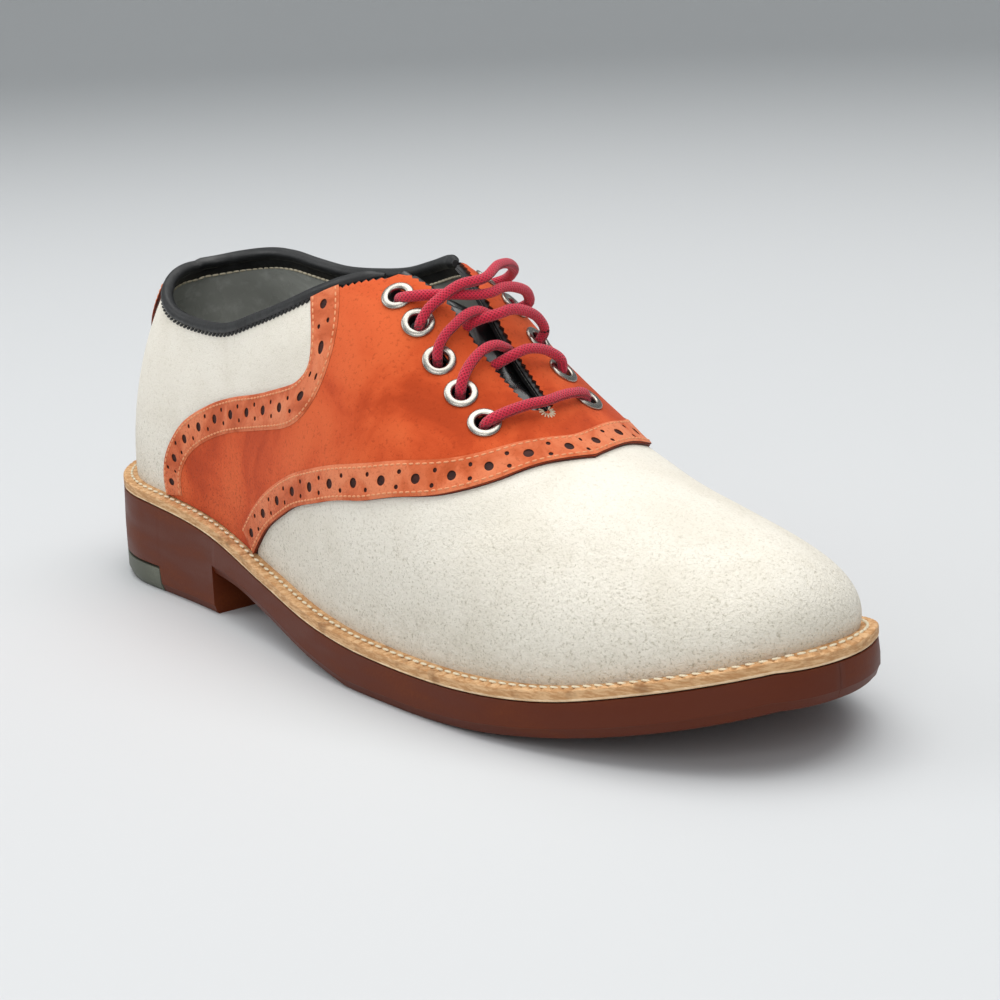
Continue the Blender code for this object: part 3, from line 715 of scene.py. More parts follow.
class Finish:
    """The node tree of one material."""

    def __init__(self, name: str) -> None:
        """Start a material with its Principled shader."""
        self.material = bpy.data.materials.new(name)
        self.material.use_nodes = True
        self.tree = self.material.node_tree
        self.shader = self.tree.nodes["Principled BSDF"]
        self.place = self.add("ShaderNodeTexCoord").outputs["Object"]

    def add(self, kind: str, settings: dict | None = None, inputs: dict | None = None) -> bpy.types.Node:
        """Add a node.

        Args:
            kind: Its type.
            settings: Its own properties.
            inputs: Sockets by name or number, each with a value or with the output to link.

        Returns:
            The node.
        """
        node = self.tree.nodes.new(kind)
        for name, value in (settings or {}).items():
            setattr(node, name, value)
        for socket, value in (inputs or {}).items():
            self.set(node, socket, value)
        return node

    def set(self, node: bpy.types.Node, socket: str | int, value: object) -> None:
        """Link an output to a socket, or give the socket a value."""
        if isinstance(value, bpy.types.NodeSocket):
            self.tree.links.new(value, node.inputs[socket])
        else:
            node.inputs[socket].default_value = value

    def shade(self, **inputs: object) -> None:
        """Set sockets of the shader, named with underscores for spaces."""
        for name, value in inputs.items():
            self.set(self.shader, name.replace("_", " "), value)

    def noise(self, size: float, detail: float = 3, rough: float = 0.55, stretch: tuple = (1, 1, 1),
              warp: float = 0.0) -> bpy.types.NodeSocket:
        """Noise with a grain of the given size in millimetres."""
        mapped = self.add("ShaderNodeMapping", inputs={"Vector": self.place, "Scale": stretch})
        node = self.add("ShaderNodeTexNoise", inputs={"Vector": mapped.outputs[0], "Scale": 1 / (size * MM),
                                                      "Detail": detail, "Roughness": rough, "Distortion": warp})
        return node.outputs["Fac"]

    def ramp(self, value: bpy.types.NodeSocket, low: float, high: float, start: float = 0.0,
             end: float = 1.0) -> bpy.types.NodeSocket:
        """A value stretched from one range to another, and held inside it."""
        node = self.add("ShaderNodeMapRange", {"interpolation_type": "SMOOTHSTEP"},
                        {"Value": value, "From Min": low, "From Max": high, "To Min": start, "To Max": end})
        return node.outputs[0]

    def mix(self, share: object, first: object, second: object) -> bpy.types.NodeSocket:
        """Two colours mixed by a share."""
        return self.add("ShaderNodeMix", {"data_type": "RGBA"}, {0: share, 6: first, 7: second}).outputs[2]

    def sum(self, first: object, second: object, operation: str = "ADD") -> bpy.types.NodeSocket:
        """Two values put together."""
        return self.add("ShaderNodeMath", {"operation": operation}, {0: first, 1: second}).outputs[0]

    def bump(self, *layers: tuple[bpy.types.NodeSocket, float]) -> None:
        """Raise the surface by layers of a height from 0 to 1, each with its depth in millimetres."""
        normal = None
        for height, depth in layers:
            inputs = {"Height": height, "Distance": depth * MM, "Strength": 1.0}
            if normal is not None:
                inputs["Normal"] = normal
            normal = self.add("ShaderNodeBump", inputs=inputs).outputs[0]
        self.shade(Normal=normal)


@dataclass(frozen=True)
class NapLeather:
    """Leather with a raised nap: suede, or nubuck sanded on its grain side.

    The nap scatters light, so it has no highlight, a pale edge where it is seen flat on, and cloudy
    patches where it lies one way or the other.

    Attributes:
        name: The material's name.
        colour: Its middle colour.
        pale: Colour of the nap brushed up.
        deep: Colour of the nap lying down, or of burnished leather.
        dirt: Colour of the painted shade that darkens its lower edge.
        patch: Size of its cloudy patches, in millimetres.
        depth: Depth of the nap, in millimetres.
        sheen: Weight of the pale edge.
        cloud: Strength of its cloudy patches.
        darkening: Most of the painted shade's colour that its lower edge takes.
    """

    name: str
    colour: str
    pale: str
    deep: str
    dirt: str
    patch: float
    depth: float
    sheen: float
    cloud: float = 1.0
    grime: float = 0.5

    def material(self) -> bpy.types.Material:
        """The Blender material."""
        made = Finish(self.name)
        # Real nap is 0.1 to 0.2 mm: it is drawn at 0.45 and 1.1 mm, the finest that shows in the render.
        fine = made.noise(0.45, 2, 0.6)
        tuft = made.noise(1.1, 3, 0.65, warp=0.4)
        cloud = made.noise(self.patch, 4, 0.55, warp=0.6)
        colour = made.mix(made.ramp(cloud, 0.36, 0.66, 0.0, self.cloud), linear(self.colour), linear(self.pale))
        colour = made.mix(made.ramp(cloud, 0.52, 0.30, 0.0, 0.55 * self.cloud), colour, linear(self.deep))
        colour = made.mix(made.ramp(tuft, 0.46, 0.30, 0.0, 0.45), colour, linear(self.deep))
        # Painted shade: the colour darkens in blotches over the lowest five centimetres, towards the welt.
        height = made.add("ShaderNodeSeparateXYZ", inputs={0: made.place}).outputs[2]
        low = made.ramp(height, 0.050, 0.018, 0.0, self.grime)
        grime = made.sum(low, made.ramp(made.noise(2.2, 4, 0.65), 0.35, 0.70, 0.35), "MULTIPLY")
        colour = made.mix(grime, colour, linear(self.dirt))
        # Fine dark specks in the painted shade's colour, low on the shoe; the same mask raises the nap there.
        rubbed = made.ramp(height, 0.078, 0.030)
        speck = made.sum(made.ramp(made.noise(0.8, 3, 0.7, warp=0.3), 0.48, 0.30), rubbed, "MULTIPLY")
        colour = made.mix(made.sum(speck, 0.75, "MULTIPLY"), colour, linear(self.dirt))
        made.shade(Base_Color=colour, Roughness=0.92, IOR=1.45, Specular_IOR_Level=0.18,
                   Sheen_Weight=self.sheen, Sheen_Roughness=0.55)
        raised = made.sum(tuft, made.ramp(rubbed, 0.0, 1.0, 0.5, 1.3), "MULTIPLY")
        made.bump((cloud, 0.5), (raised, self.depth * 1.3), (fine, self.depth * 0.7))
        return made.material


@dataclass(frozen=True)
class SmoothLeather:
    """Grain leather, dyed through and waxed: soft highlights broken by fine pores and creases.

    Attributes:
        name: The material's name.
        colour: Its colour.
        worn: Its colour where it is rubbed.
        rough: Its roughness.
        coat: Weight of its polish.
        crease: Depth of its shallow waves, in millimetres.
    """

    name: str
    colour: str
    worn: str
    rough: float
    coat: float
    crease: float

    def material(self) -> bpy.types.Material:
        """The Blender material."""
        made = Finish(self.name)
        # Calf grain has cells of about 0.5 mm.
        cells = made.add("ShaderNodeTexVoronoi", {"feature": "SMOOTH_F1"},
                         {"Vector": made.place, "Scale": 1 / (0.7 * MM)}).outputs["Distance"]
        waves = made.noise(14, 3, 0.5, (1.0, 1.6, 0.8), warp=0.5)
        rubbed = made.ramp(made.noise(6, 4, 0.6), 0.5, 0.75)
        made.shade(Base_Color=made.mix(rubbed, linear(self.colour), linear(self.worn)), IOR=1.5,
                   Roughness=made.ramp(waves, 0.3, 0.7, self.rough - 0.08, self.rough + 0.12),
                   Coat_Weight=self.coat, Coat_Roughness=0.22)
        made.bump((waves, self.crease), (cells, 0.05))
        return made.material


@dataclass(frozen=True)
class CutLeather:
    """Vegetable-tanned sole leather, cut and inked: fibres along its edge and a dry matt face.

    Attributes:
        name: The material's name.
        colour: Its colour.
        fibre: Colour of its fibres.
        darkening: Colour of the soil in its pores.
    """

    name: str
    colour: str
    fibre: str
    grime: str

    def material(self) -> bpy.types.Material:
        """The Blender material."""
        made = Finish(self.name)
        fibres = made.noise(1.6, 4, 0.7, (0.45, 0.45, 2.4))
        blotch = made.noise(7, 3, 0.55)
        colour = made.mix(made.ramp(fibres, 0.40, 0.62), linear(self.colour), linear(self.fibre))
        colour = made.mix(made.ramp(blotch, 0.55, 0.72, 0.0, 0.55), colour, linear(self.grime))
        made.shade(Base_Color=colour, Roughness=0.72, IOR=1.5, Specular_IOR_Level=0.35)
        made.bump((fibres, 0.14), (made.noise(0.5, 2), 0.05))
        return made.material


@dataclass(frozen=True)
class MouldedRubber:
    """Rubber from a steel mould: even, half matt, with faint flow marks and rubbed high places.

    Attributes:
        name: The material's name.
        colour: Its colour.
        dusty: Its colour where dust lies in it.
    """

    name: str
    colour: str
    dusty: str

    def material(self) -> bpy.types.Material:
        """The Blender material."""
        made = Finish(self.name)
        flow = made.noise(16, 3, 0.5, (0.5, 0.5, 2.0))
        speck = made.noise(0.8, 3, 0.6)
        dust = made.sum(made.ramp(flow, 0.45, 0.72), made.ramp(speck, 0.4, 0.7, 0.4, 1.0), "MULTIPLY")
        made.shade(Base_Color=made.mix(dust, linear(self.colour), linear(self.dusty)), IOR=1.52,
                   Roughness=made.ramp(flow, 0.3, 0.7, 0.42, 0.58), Specular_IOR_Level=0.25)
        made.bump((flow, 0.12), (speck, 0.035))
        return made.material


@dataclass(frozen=True)
class PlatedBrass:
    """Brass stamped and nickel plated: bright, with fine scratches from the press and from wear.

    Attributes:
        name: The material's name.
        colour: Its colour.
    """

    name: str = "nickel plated brass"
    colour: str = "#aaa69e"

    def material(self) -> bpy.types.Material:
        """The Blender material."""
        made = Finish(self.name)
        scratch = made.noise(0.5, 3, 0.6, (3.0, 0.5, 1.0))
        made.shade(Base_Color=linear(self.colour), Metallic=1.0, Roughness=made.ramp(scratch, 0.3, 0.7, 0.20, 0.38))
        made.bump((scratch, 0.02))
        return made.material


@dataclass(frozen=True)
class BraidedCord:
    """Round waxed cotton lace: a braid of small slanted strands with a dull sheen.

    Attributes:
        name: The material's name.
        colour: Colour of the strands' tops.
        deep: Colour between the strands, painted shade in the braid's grooves, and of its darker patches.
        strand: Width of one strand, in millimetres.
    """

    name: str
    colour: str
    deep: str
    strand: float

    def material(self) -> bpy.types.Material:
        """The Blender material."""
        made = Finish(self.name)
        place = made.add("ShaderNodeUVMap").outputs[0]
        waves = []
        for slant in (1.0, -1.0):
            turned = made.add("ShaderNodeMapping", inputs={"Vector": place, "Rotation": (0, 0, slant * 0.72)})
            waves.append(made.add("ShaderNodeTexWave", {"wave_profile": "SIN"},
                                  {"Vector": turned.outputs[0], "Scale": 0.32 / (self.strand * MM)}).outputs["Fac"])
        weave = made.sum(waves[0], waves[1], "MAXIMUM")
        fuzz = made.noise(0.3, 2)
        # Painted shade: the grooves between the strands take the darker colour.
        colour = made.mix(made.ramp(weave, 0.45, 0.95), linear(self.deep), linear(self.colour))
        colour = made.mix(made.ramp(made.noise(9, 2), 0.4, 0.7, 0.0, 0.25), colour, linear(self.deep))
        made.shade(Base_Color=colour, Roughness=0.7, IOR=1.53, Specular_IOR_Level=0.3, Sheen_Weight=0.25,
                   Sheen_Roughness=0.5)
        made.bump((weave, 0.22), (fuzz, 0.05))
        return made.material


@dataclass(frozen=True)
class SewingThread:
    """Bonded nylon thread, pulled tight: a soft gloss and a fine twist.

    Attributes:
        name: The material's name.
        colour: Its colour.
        shade: Its colour between the plies.
    """

    name: str
    colour: str
    shade: str

    def material(self) -> bpy.types.Material:
        """The Blender material."""
        made = Finish(self.name)
        twist = made.noise(0.35, 2, 0.5)
        made.shade(Base_Color=made.mix(twist, linear(self.colour), linear(self.shade)), Roughness=0.55, IOR=1.53)
        made.bump((twist, 0.06))
        return made.material


@dataclass(frozen=True)
class PaperFloor:
    """Matt paper sweep under the shoe, paler near it than far off: a painted pool of light round the shoe.

    Attributes:
        near: Its colour near the shoe, paler with the painted light.
        far: Its colour far off.
        reach: Distances between which it changes, in metres.
    """

    near: str = "#cfd1d3"
    far: str = "#b9bcbe"
    reach: tuple[float, float] = (0.5, 2.0)

    def material(self) -> bpy.types.Material:
        """The Blender material."""
        made = Finish("matt paper")
        away = made.add("ShaderNodeVectorMath", {"operation": "LENGTH"}, {0: made.place}).outputs["Value"]
        # Painted light: the paper is paler near the shoe and darker far off.
        colour = made.mix(made.ramp(away, *self.reach), linear(self.near), linear(self.far))
        made.shade(Base_Color=colour, Roughness=0.62, Specular_IOR_Level=0.35)
        return made.material


class Look(Enum):
    """The finishes of the shoe's pieces."""

    # The fourth colour of each nap leather is the painted shade of its lower edge.
    SUEDE = NapLeather("white suede", "#eee8db", "#f7f3e8", "#d3ccba", "#a79f8a", 34, 0.34, 0.10, 0.40, 0.30)
    NUBUCK = NapLeather("coral nubuck", "#cb4d22", "#dc6334", "#9c3512", "#7d2c12", 30, 0.10, 0.06, 1.0, 0.35)
    BAND = NapLeather("brushed coral nubuck", "#d2663c", "#e0835a", "#a64822", "#7d2c12", 14, 0.10, 0.08, 1.0, 0.3)
    EDGE = CutLeather("inked leather edge", "#4a1f14", "#6b2f1d", "#241009")
    # A near-black sheet under the bands' holes: painted shade in the holes.
    PUNCHED = CutLeather("leather inside the punching", "#2a0f0a", "#43190f", "#130705")
    BLACK = SmoothLeather("black calf", "#161718", "#242526", 0.48, 0.06, 0.3)
    TONGUE = SmoothLeather("polished black calf", "#0f0f11", "#1e1e20", 0.30, 0.35, 0.7)
    # Painted light: this grey is lifted well above the lining's own darker grey, to stand in for light inside the
    # shoe.
    LINING = SmoothLeather("grey glove leather", "#b3b5ae", "#cdcfc9", 0.30, 0.30, 0.9)
    SOCK = SmoothLeather("dark sock leather", "#3c3c3a", "#55544f", 0.5, 0.05, 0.4)
    WELT = CutLeather("vegetable-tanned welt", "#bd8c5c", "#dcb385", "#7d5330")
    WELT_LINE = CutLeather("pale welt edge", "#e0bd93", "#efd4b0", "#b48a5f")
    BRICK = MouldedRubber("brick red moulded rubber", "#5a2207", "#6a2e0a")
    GREY = MouldedRubber("grey green moulded rubber", "#595c50", "#75786b")
    NICKEL = PlatedBrass()
    CORD = BraidedCord("crimson waxed cotton", "#dd2846", "#a3152f", 0.8)
    ORANGE = SewingThread("pale orange bonded nylon", "#f2ab7c", "#cf7a49")
    CREAM = SewingThread("cream bonded nylon", "#efe6cf", "#cfc09c")
    JET = SewingThread("black bonded nylon", "#1b1b1d", "#0b0b0c")


class Palette:
    """Makes each finish's material once."""

    def __init__(self) -> None:
        """Start with none."""
        self.made: dict[Look, bpy.types.Material] = {}

    def __call__(self, *looks: Look) -> list[bpy.types.Material]:
        """The materials of these finishes."""
        for look in looks:
            if look not in self.made:
                self.made[look] = look.value.material()
        return [self.made[look] for look in looks]


# The upper

def compact(faces: Array, *arrays: Array) -> tuple[Array, ...]:
    """Keep only the points that the faces use.

    Args:
        faces: Corners.
        arrays: Values for each point.

    Returns:
        The renumbered faces, and the arrays of the points that are left.
    """
    used, corners = np.unique(faces, return_inverse=True)
    return (corners.reshape(faces.shape), *(array[used] for array in arrays))


def rim_points(faces: Array, count: int) -> Array:
    """Which points lie on the open edge of a sheet."""
    starts = faces.reshape(-1)
    ends = np.roll(faces, -1, axis=1).reshape(-1)
    open_edge = ~np.isin(starts * count + ends, ends * count + starts)
    found = np.zeros(count, bool)
    found[starts[open_edge]] = True
    found[ends[open_edge]] = True
    return found


@dataclass
class Upper:
    """The suede skin over the last, with the black facing leather under the saddle, and the lining.

    Attributes:
        skin: The surface that it lies on.
        palette: The finishes.
        suede_thick: Thickness of the outer leather.
        lining_thick: Thickness of the lining.
        tuck: How far its lower edge is drawn into the welt's seam.
        eyelet_hole: Radius of the holes for the eyelets.
        collar_band: Depth of the black band inside the collar.
    """

    skin: Skin
    palette: Palette
    suede_thick: float = 0.0009
    lining_thick: float = 0.0009
    tuck: float = 0.0010
    eyelet_hole: float = 0.0027
    collar_band: float = 0.0036

    def build_suede(self) -> None:
        """The outer leather."""
        skin = self.skin
        parts = [(Seam.HEEL, Seam.SADDLE_BACK), (Seam.SADDLE_BACK, Seam.SADDLE_FRONT), (Seam.SADDLE_FRONT, Seam.TOE)]
        groups = [skin.quads(*part) for part in parts]
        numbers = np.concatenate([np.full(len(group), part == 1) for part, group in enumerate(groups)])
        faces = np.concatenate(groups)
        kept = skin.without_holes(faces, self.eyelet_hole)
        faces, points, normals = compact(faces[kept], self.tucked(), skin.normals)
        upper = points - normals * np.where(rim_points(faces, len(points)), 0.2 * MM, 0)[:, None]
        points, faces, walls = close_sheet(points - normals * self.suede_thick, upper, faces)
        numbers = numbers[kept]
        numbers = np.concatenate([numbers, numbers, np.ones(len(faces) - walls, bool)])
        Piece("suede_upper", points, faces, self.palette(Look.SUEDE, Look.BLACK), Slot.SUEDE, ("upper",),
              numbers).build()

    def tucked(self) -> Array:
        """The skin's points with the lowest row drawn down into the welt's seam."""
        points = self.skin.points.copy()
        for side in Side:
            points[self.skin.index[side][0], 2] -= self.tuck
        return points

    def build_lining(self) -> None:
        """The lining, with the black band under the collar's edge."""
        skin = self.skin
        faces = skin.quads(Seam.HEEL, Seam.TOE)
        faces = faces[skin.without_holes(faces, self.eyelet_hole)]
        collar = np.concatenate([skin.index[side][-1, :skin.marks[Seam.CORNER] + 1] for side in Side])
        centres = skin.points[faces].mean(1)
        edge = skin.points[collar]
        gap = np.array([np.min(np.linalg.norm(edge - centre, axis=1)) if centre[2] > 0.06 else 1.0
                        for centre in centres])
        numbers = gap < self.collar_band
        faces, points, normals = compact(faces, skin.points, skin.normals)
        start = self.suede_thick + 0.1 * MM
        wave = 0.35 * MM * np.sin(points[:, 0] / 0.011 + 1.7 * np.sin(points[:, 2] / 0.013))
        inner = points - normals * (start + self.lining_thick + wave * (points[:, 2] > 0.05))[:, None]
        points, faces, walls = close_sheet(inner, points - normals * start, faces)
        numbers = np.concatenate([numbers, numbers, np.ones(len(faces) - walls, bool)])
        Piece("lining", points, faces, self.palette(Look.LINING, Look.BLACK), Slot.BLACK, (), numbers).build()

    def build(self) -> None:
        """Both layers."""
        self.build_suede()
        self.build_lining()


@dataclass
class Panel:
    """A panel of leather on the skin, with inked edges pressed down a little.

    Attributes:
        skin: The surface under it.
        palette: The finishes.
        low: Height of its lower face over the skin.
        high: Height of its upper face.
        pressed: How much lower its upper face's rim lies.
    """

    skin: Skin
    palette: Palette
    low: float = 0.00008
    high: float = 0.00100
    pressed: float = 0.00025

    def build_panel(self, name: str, node: str, faces: Array, places: Array) -> None:
        """Make the panel.

        Args:
            name: Its name.
            node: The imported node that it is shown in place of.
            faces: The skin's faces that it covers.
            places: The skin's points, where its own differ from them.
        """
        faces, points, normals = compact(faces, places, self.skin.normals)
        high = np.where(rim_points(faces, len(points)), self.high - self.pressed, self.high)
        points, listed, walls = close_sheet(points + normals * self.low, points + normals * high[:, None], faces)
        Piece(name, points, listed, self.palette(Look.NUBUCK, Look.EDGE), Slot.NUBUCK, (node,),
              np.arange(len(listed)) >= walls).build()

    def build_bands(self, name: str, bands: list[PunchedBand], rows: list[tuple[Array, list]]) -> None:
        """Make its punched bands and all of its thread.

        Args:
            name: The thread's name.
            bands: The bands.
            rows: Other rows of stitches.
        """
        for band in bands:
            band.build(self.palette, Slot.NUBUCK)
            rows = rows + band.rows(Stitching())
        Piece(name, *join(rows), self.palette(Look.ORANGE), Slot.NUBUCK).build()


@dataclass
class Stitching:
    """A row of thread along a line.

    Attributes:
        pitch: Distance from one stitch to the next.
        length: Length of a stitch.
        width: Its width.
        height: Its height.
    """

    pitch: float = 0.0021
    length: float = 0.0016
    width: float = 0.00062
    height: float = 0.00052

    def along(self, line: Array, normals: Array, slant: float = 0.0) -> tuple[Array, list]:
        """Lay the stitches along a line.

        Args:
            line: Points of the line, at the stitches' middle.
            normals: Directions out of the leather there.
            slant: Turn of each stitch away from the line, in radians.

        Returns:
            Points and faces of all the stitches.
        """
        run = run_length(line)
        count = max(2, int(run[-1] / self.pitch))
        at = (np.arange(count) + 0.5) * run[-1] / count
        places, forwards = read_rows(line, at, run), read_rows(np.gradient(line, run, axis=0), at, run)
        ups = unit(read_rows(normals, at, run))
        frames = [frame_at(place, forward, up) @ Matrix.Rotation(slant, 4, "Z")
                  for place, forward, up in zip(places, forwards, ups)]
        return repeat(bead(self.length, self.width, self.height), frames)


def join(shapes: list[tuple[Array, list]]) -> tuple[Array, list]:
    """Join shapes into one set of points and faces."""
    points, faces, count = [], [], 0
    for part_points, part_faces in shapes:
        points.append(part_points)
        faces += [[corner + count for corner in face] for face in part_faces]
        count += len(part_points)
    return np.concatenate(points), faces


class Strip:
    """A strip of the skin along a seam, with its own places in millimetres along and across.

    Attributes:
        STEPS: Rows that it is walked out in.
        RELAX: Times that each row is smoothed.
        READ: Distance between the points of a line read along it, in millimetres.
    """

    STEPS = 12
    RELAX = 5
    READ = 0.7

    def __init__(self, skin: Skin, edge: Array, toward: Array, widths: tuple[float, ...]) -> None:
        """Walk the strip out from its edge.

        Args:
            skin: The surface.
            edge: Points of the seam.
            toward: A point on the side that the strip lies on.
            widths: Its width at even places along the seam, in millimetres.
        """
        self.skin = skin
        self.length = run_length(edge)[-1] / MM
        edge = respace(edge, int(self.length / 1.0))
        self.width = float(np.mean(widths))
        at = np.linspace(0, 1, len(edge))
        self.widths = smooth(at, np.linspace(0, 1, len(widths)), np.array(widths, float))
        places, normals = skin.settle(edge)
        along = unit(np.gradient(edge, axis=0))
        inward = np.cross(normals, along)
        middle = len(edge) // 2
        self.turn = 1.0 if inward[middle] @ (toward - edge[middle]) > 0 else -1.0
        rows = [places]
        for _ in range(self.STEPS):
            inward = unit(np.cross(normals, along)) * self.turn
            moved = rows[-1] + inward * (self.widths * MM / self.STEPS)[:, None]
            for _ in range(self.RELAX):
                moved[1:-1] = moved[1:-1] / 2 + (moved[:-2] + moved[2:]) / 4
            places, normals = skin.settle(moved)
            along = unit(np.gradient(places, axis=0))
            rows.append(places)
        self.grid = np.stack(rows, 1)

    def at(self, along: Array, across: Array) -> tuple[Array, Array]:
        """Places and normals of points given in the strip's own millimetres."""
        i = np.clip(np.asarray(along) / self.length, 0, 1) * (self.grid.shape[0] - 1)
        j = np.clip(np.asarray(across) / self.width, 0, 1) * (self.grid.shape[1] - 1)
        i0 = np.minimum(i.astype(int), self.grid.shape[0] - 2)
        j0 = np.minimum(j.astype(int), self.grid.shape[1] - 2)
        u, v = (i - i0)[:, None], (j - j0)[:, None]
        grid = self.grid
        points = ((1 - u) * (1 - v) * grid[i0, j0] + u * (1 - v) * grid[i0 + 1, j0]
                  + (1 - u) * v * grid[i0, j0 + 1] + u * v * grid[i0 + 1, j0 + 1])
        return self.skin.settle(points)

    def line(self, across: float, lift: float) -> tuple[Array, Array]:
        """A line along the strip, raised off the skin.

        Args:
            across: Distance from the seam, in millimetres.
            lift: Height over the skin, in metres.

        Returns:
            Points and normals.
        """
        along = np.arange(0.0, self.length, self.READ)
        places, normals = self.at(along, np.full(len(along), across))
        return places + normals * lift, normals

    def stretch(self, along: float) -> float:
        """How much wider the strip is at a place than its even width."""
        at = np.linspace(0, self.length, len(self.widths))
        return float(np.interp(along, at, self.widths)) / self.width


@dataclass
class PunchedBand:
    """A brogue band: a strip of leather on the saddle's edge with its holes cut through.

    Attributes:
        strip: Where it lies.
        name: Its name.
        pitch: Distance from one large hole to the next, in millimetres.
        large: Radius of the large holes.
        small: Radius of the small ones, which lie in pairs between the large ones.
        spread: Distance of a small hole from the band's middle.
        low: Height of its lower face over the skin, in millimetres.
        high: Height of its upper face.
        fade: Width over which its inner edge is skived down.
        first: Distance of the first and last large hole from the band's ends.
        mesh: Distance between the points that fill it.
        edge_drop: How much lower its outer edge is pressed.
        hole_drop: How much lower a hole's rim is pressed.
        rim: Width of that rim.
        margin: Distance of its rows of thread from its edges.
    """

    strip: Strip
    name: str
    pitch: float = 11.6
    large: float = 1.45
    small: float = 0.68
    spread: float = 2.1
    low: float = 1.06
    high: float = 1.45
    fade: float = 1.6
    first: float = 5.0
    mesh: float = 1.15
    edge_drop: float = 0.18
    hole_drop: float = 0.12
    rim: float = 0.2
    margin: float = 1.15

    def holes(self) -> list[tuple[float, float, float]]:
        """Place along, place across and radius of each hole, in millimetres."""
        length, middle = self.strip.length, self.strip.width / 2 - 0.2
        count = round((length - 2 * self.first) / self.pitch)
        step = (length - 2 * self.first) / count
        found = [(self.first + step * number, middle, self.large) for number in range(count + 1)]
        for number in range(count):
            along = self.first + step * (number + 0.5)
            for turn in (-1, 1):
                across = middle + turn * self.spread / self.strip.stretch(along)
                found.append((along + turn * 0.35, across, self.small))
        return found

    def plan(self) -> tuple[Array, Array, Array]:
        """Cut the band flat.

        Returns:
            Points in millimetres, triangles, and how much lower each point lies.
        """
        length, width = self.strip.length, self.strip.width
        points: list[tuple[float, float]] = []
        edges: list[tuple[int, int]] = []
        drops: dict[int, float] = {}
        count = int(length / self.mesh)
        border = [(length * step / count, 0.0) for step in range(count + 1)]
        border += [(length * step / count, width) for step in range(count, -1, -1)]
        points += border
        edges += [(number, (number + 1) % len(border)) for number in range(len(border))]
        for number, (_, across) in enumerate(border):
            if across == 0:
                drops[number] = self.edge_drop
        holes = self.holes()
        for along, across, radius in holes:
            sides = 18 if radius > 1 else 10
            stretch = self.strip.stretch(along)
            for ring, drop in ((radius, self.hole_drop), (radius + self.rim, 0.0)):
                start = len(points)
                for step in range(sides):
                    angle = 2 * math.pi * step / sides
                    points.append((along + ring * math.cos(angle), across + ring * math.sin(angle) / stretch))
                    drops[start + step] = drop
                edges += [(start + step, start + (step + 1) % sides) for step in range(sides)]
        inner = np.array([[hole[0], hole[1]] for hole in holes])
        clear = np.array([hole[2] + 0.55 for hole in holes])
        rows = [0.35, *np.arange(1.3, width - self.fade, self.mesh), width - self.fade, width - self.fade / 2]
        for number, across in enumerate(rows):
            for along in np.arange(0.6 + 0.55 * (number % 2), length - 0.4, self.mesh):
                if np.all(np.hypot(*(inner - (along, across)).T) > clear):
                    points.append((float(along), float(across)))
        cut = geometry.delaunay_2d_cdt([Vector(point) for point in points], edges, [], 0, 1e-5)
        flat = np.array([tuple(point) for point in cut[0]])
        faces = np.array([face for face in cut[2] if len(face) == 3])
        lowered = np.array([max([drops.get(source, 0.0) for source in sources], default=0.0) for sources in cut[3]])
        middle = flat[faces].mean(1)
        kept = np.ones(len(faces), bool)
        for along, across, radius in holes:
            stretch = self.strip.stretch(along)
            kept &= np.hypot(middle[:, 0] - along, (middle[:, 1] - across) * stretch) > radius * 0.97
        return flat, faces[kept], lowered

    def build(self, palette: Palette, slot: Slot) -> None:
        """The band, and a dark sheet under it that shows through its holes as painted shade."""
        flat, faces, lowered = self.plan()
        faces, flat, lowered = compact(faces, flat, lowered)
        places, normals = self.strip.at(flat[:, 0], flat[:, 1])
        fade = ease((flat[:, 1] - (self.strip.width - self.fade)) / self.fade)
        high = (self.high - lowered - (self.high - self.low - 0.06) * fade) * MM
        faces = outward(faces, places, normals)
        points, listed, walls = close_sheet(places + normals * self.low * MM, places + normals * high[:, None], faces)
        numbers = np.arange(len(listed)) >= walls
        Piece(self.name, points, listed, palette(Look.BAND, Look.EDGE), slot, (), numbers).build()
        # A near-black sheet just under the band, seen through its holes: painted shade.
        along = np.arange(1.0, self.strip.length - 1, 1.3)
        across = np.linspace(0.9, self.strip.width - 1.9, 8)
        spread = [axis.ravel() for axis in np.meshgrid(along, across, indexing="ij")]
        places, normals = self.strip.at(*spread)
        faces = outward(grid_faces(len(along), len(across)), places, normals)
        points, listed, _ = close_sheet(places + normals * (self.low - 0.05) * MM,
                                        places + normals * (self.low - 0.01) * MM, faces)
        Piece(self.name + "_backing", points, listed, palette(Look.PUNCHED), slot).build()

    def rows(self, thread: Stitching) -> list[tuple[Array, list]]:
        """The rows of thread along both of its edges."""
        lift = self.high * MM
        inner = self.strip.width - 1.1
        return [thread.along(*self.strip.line(self.margin, lift)),
                thread.along(*self.strip.line(inner, lift - 0.10 * MM))]


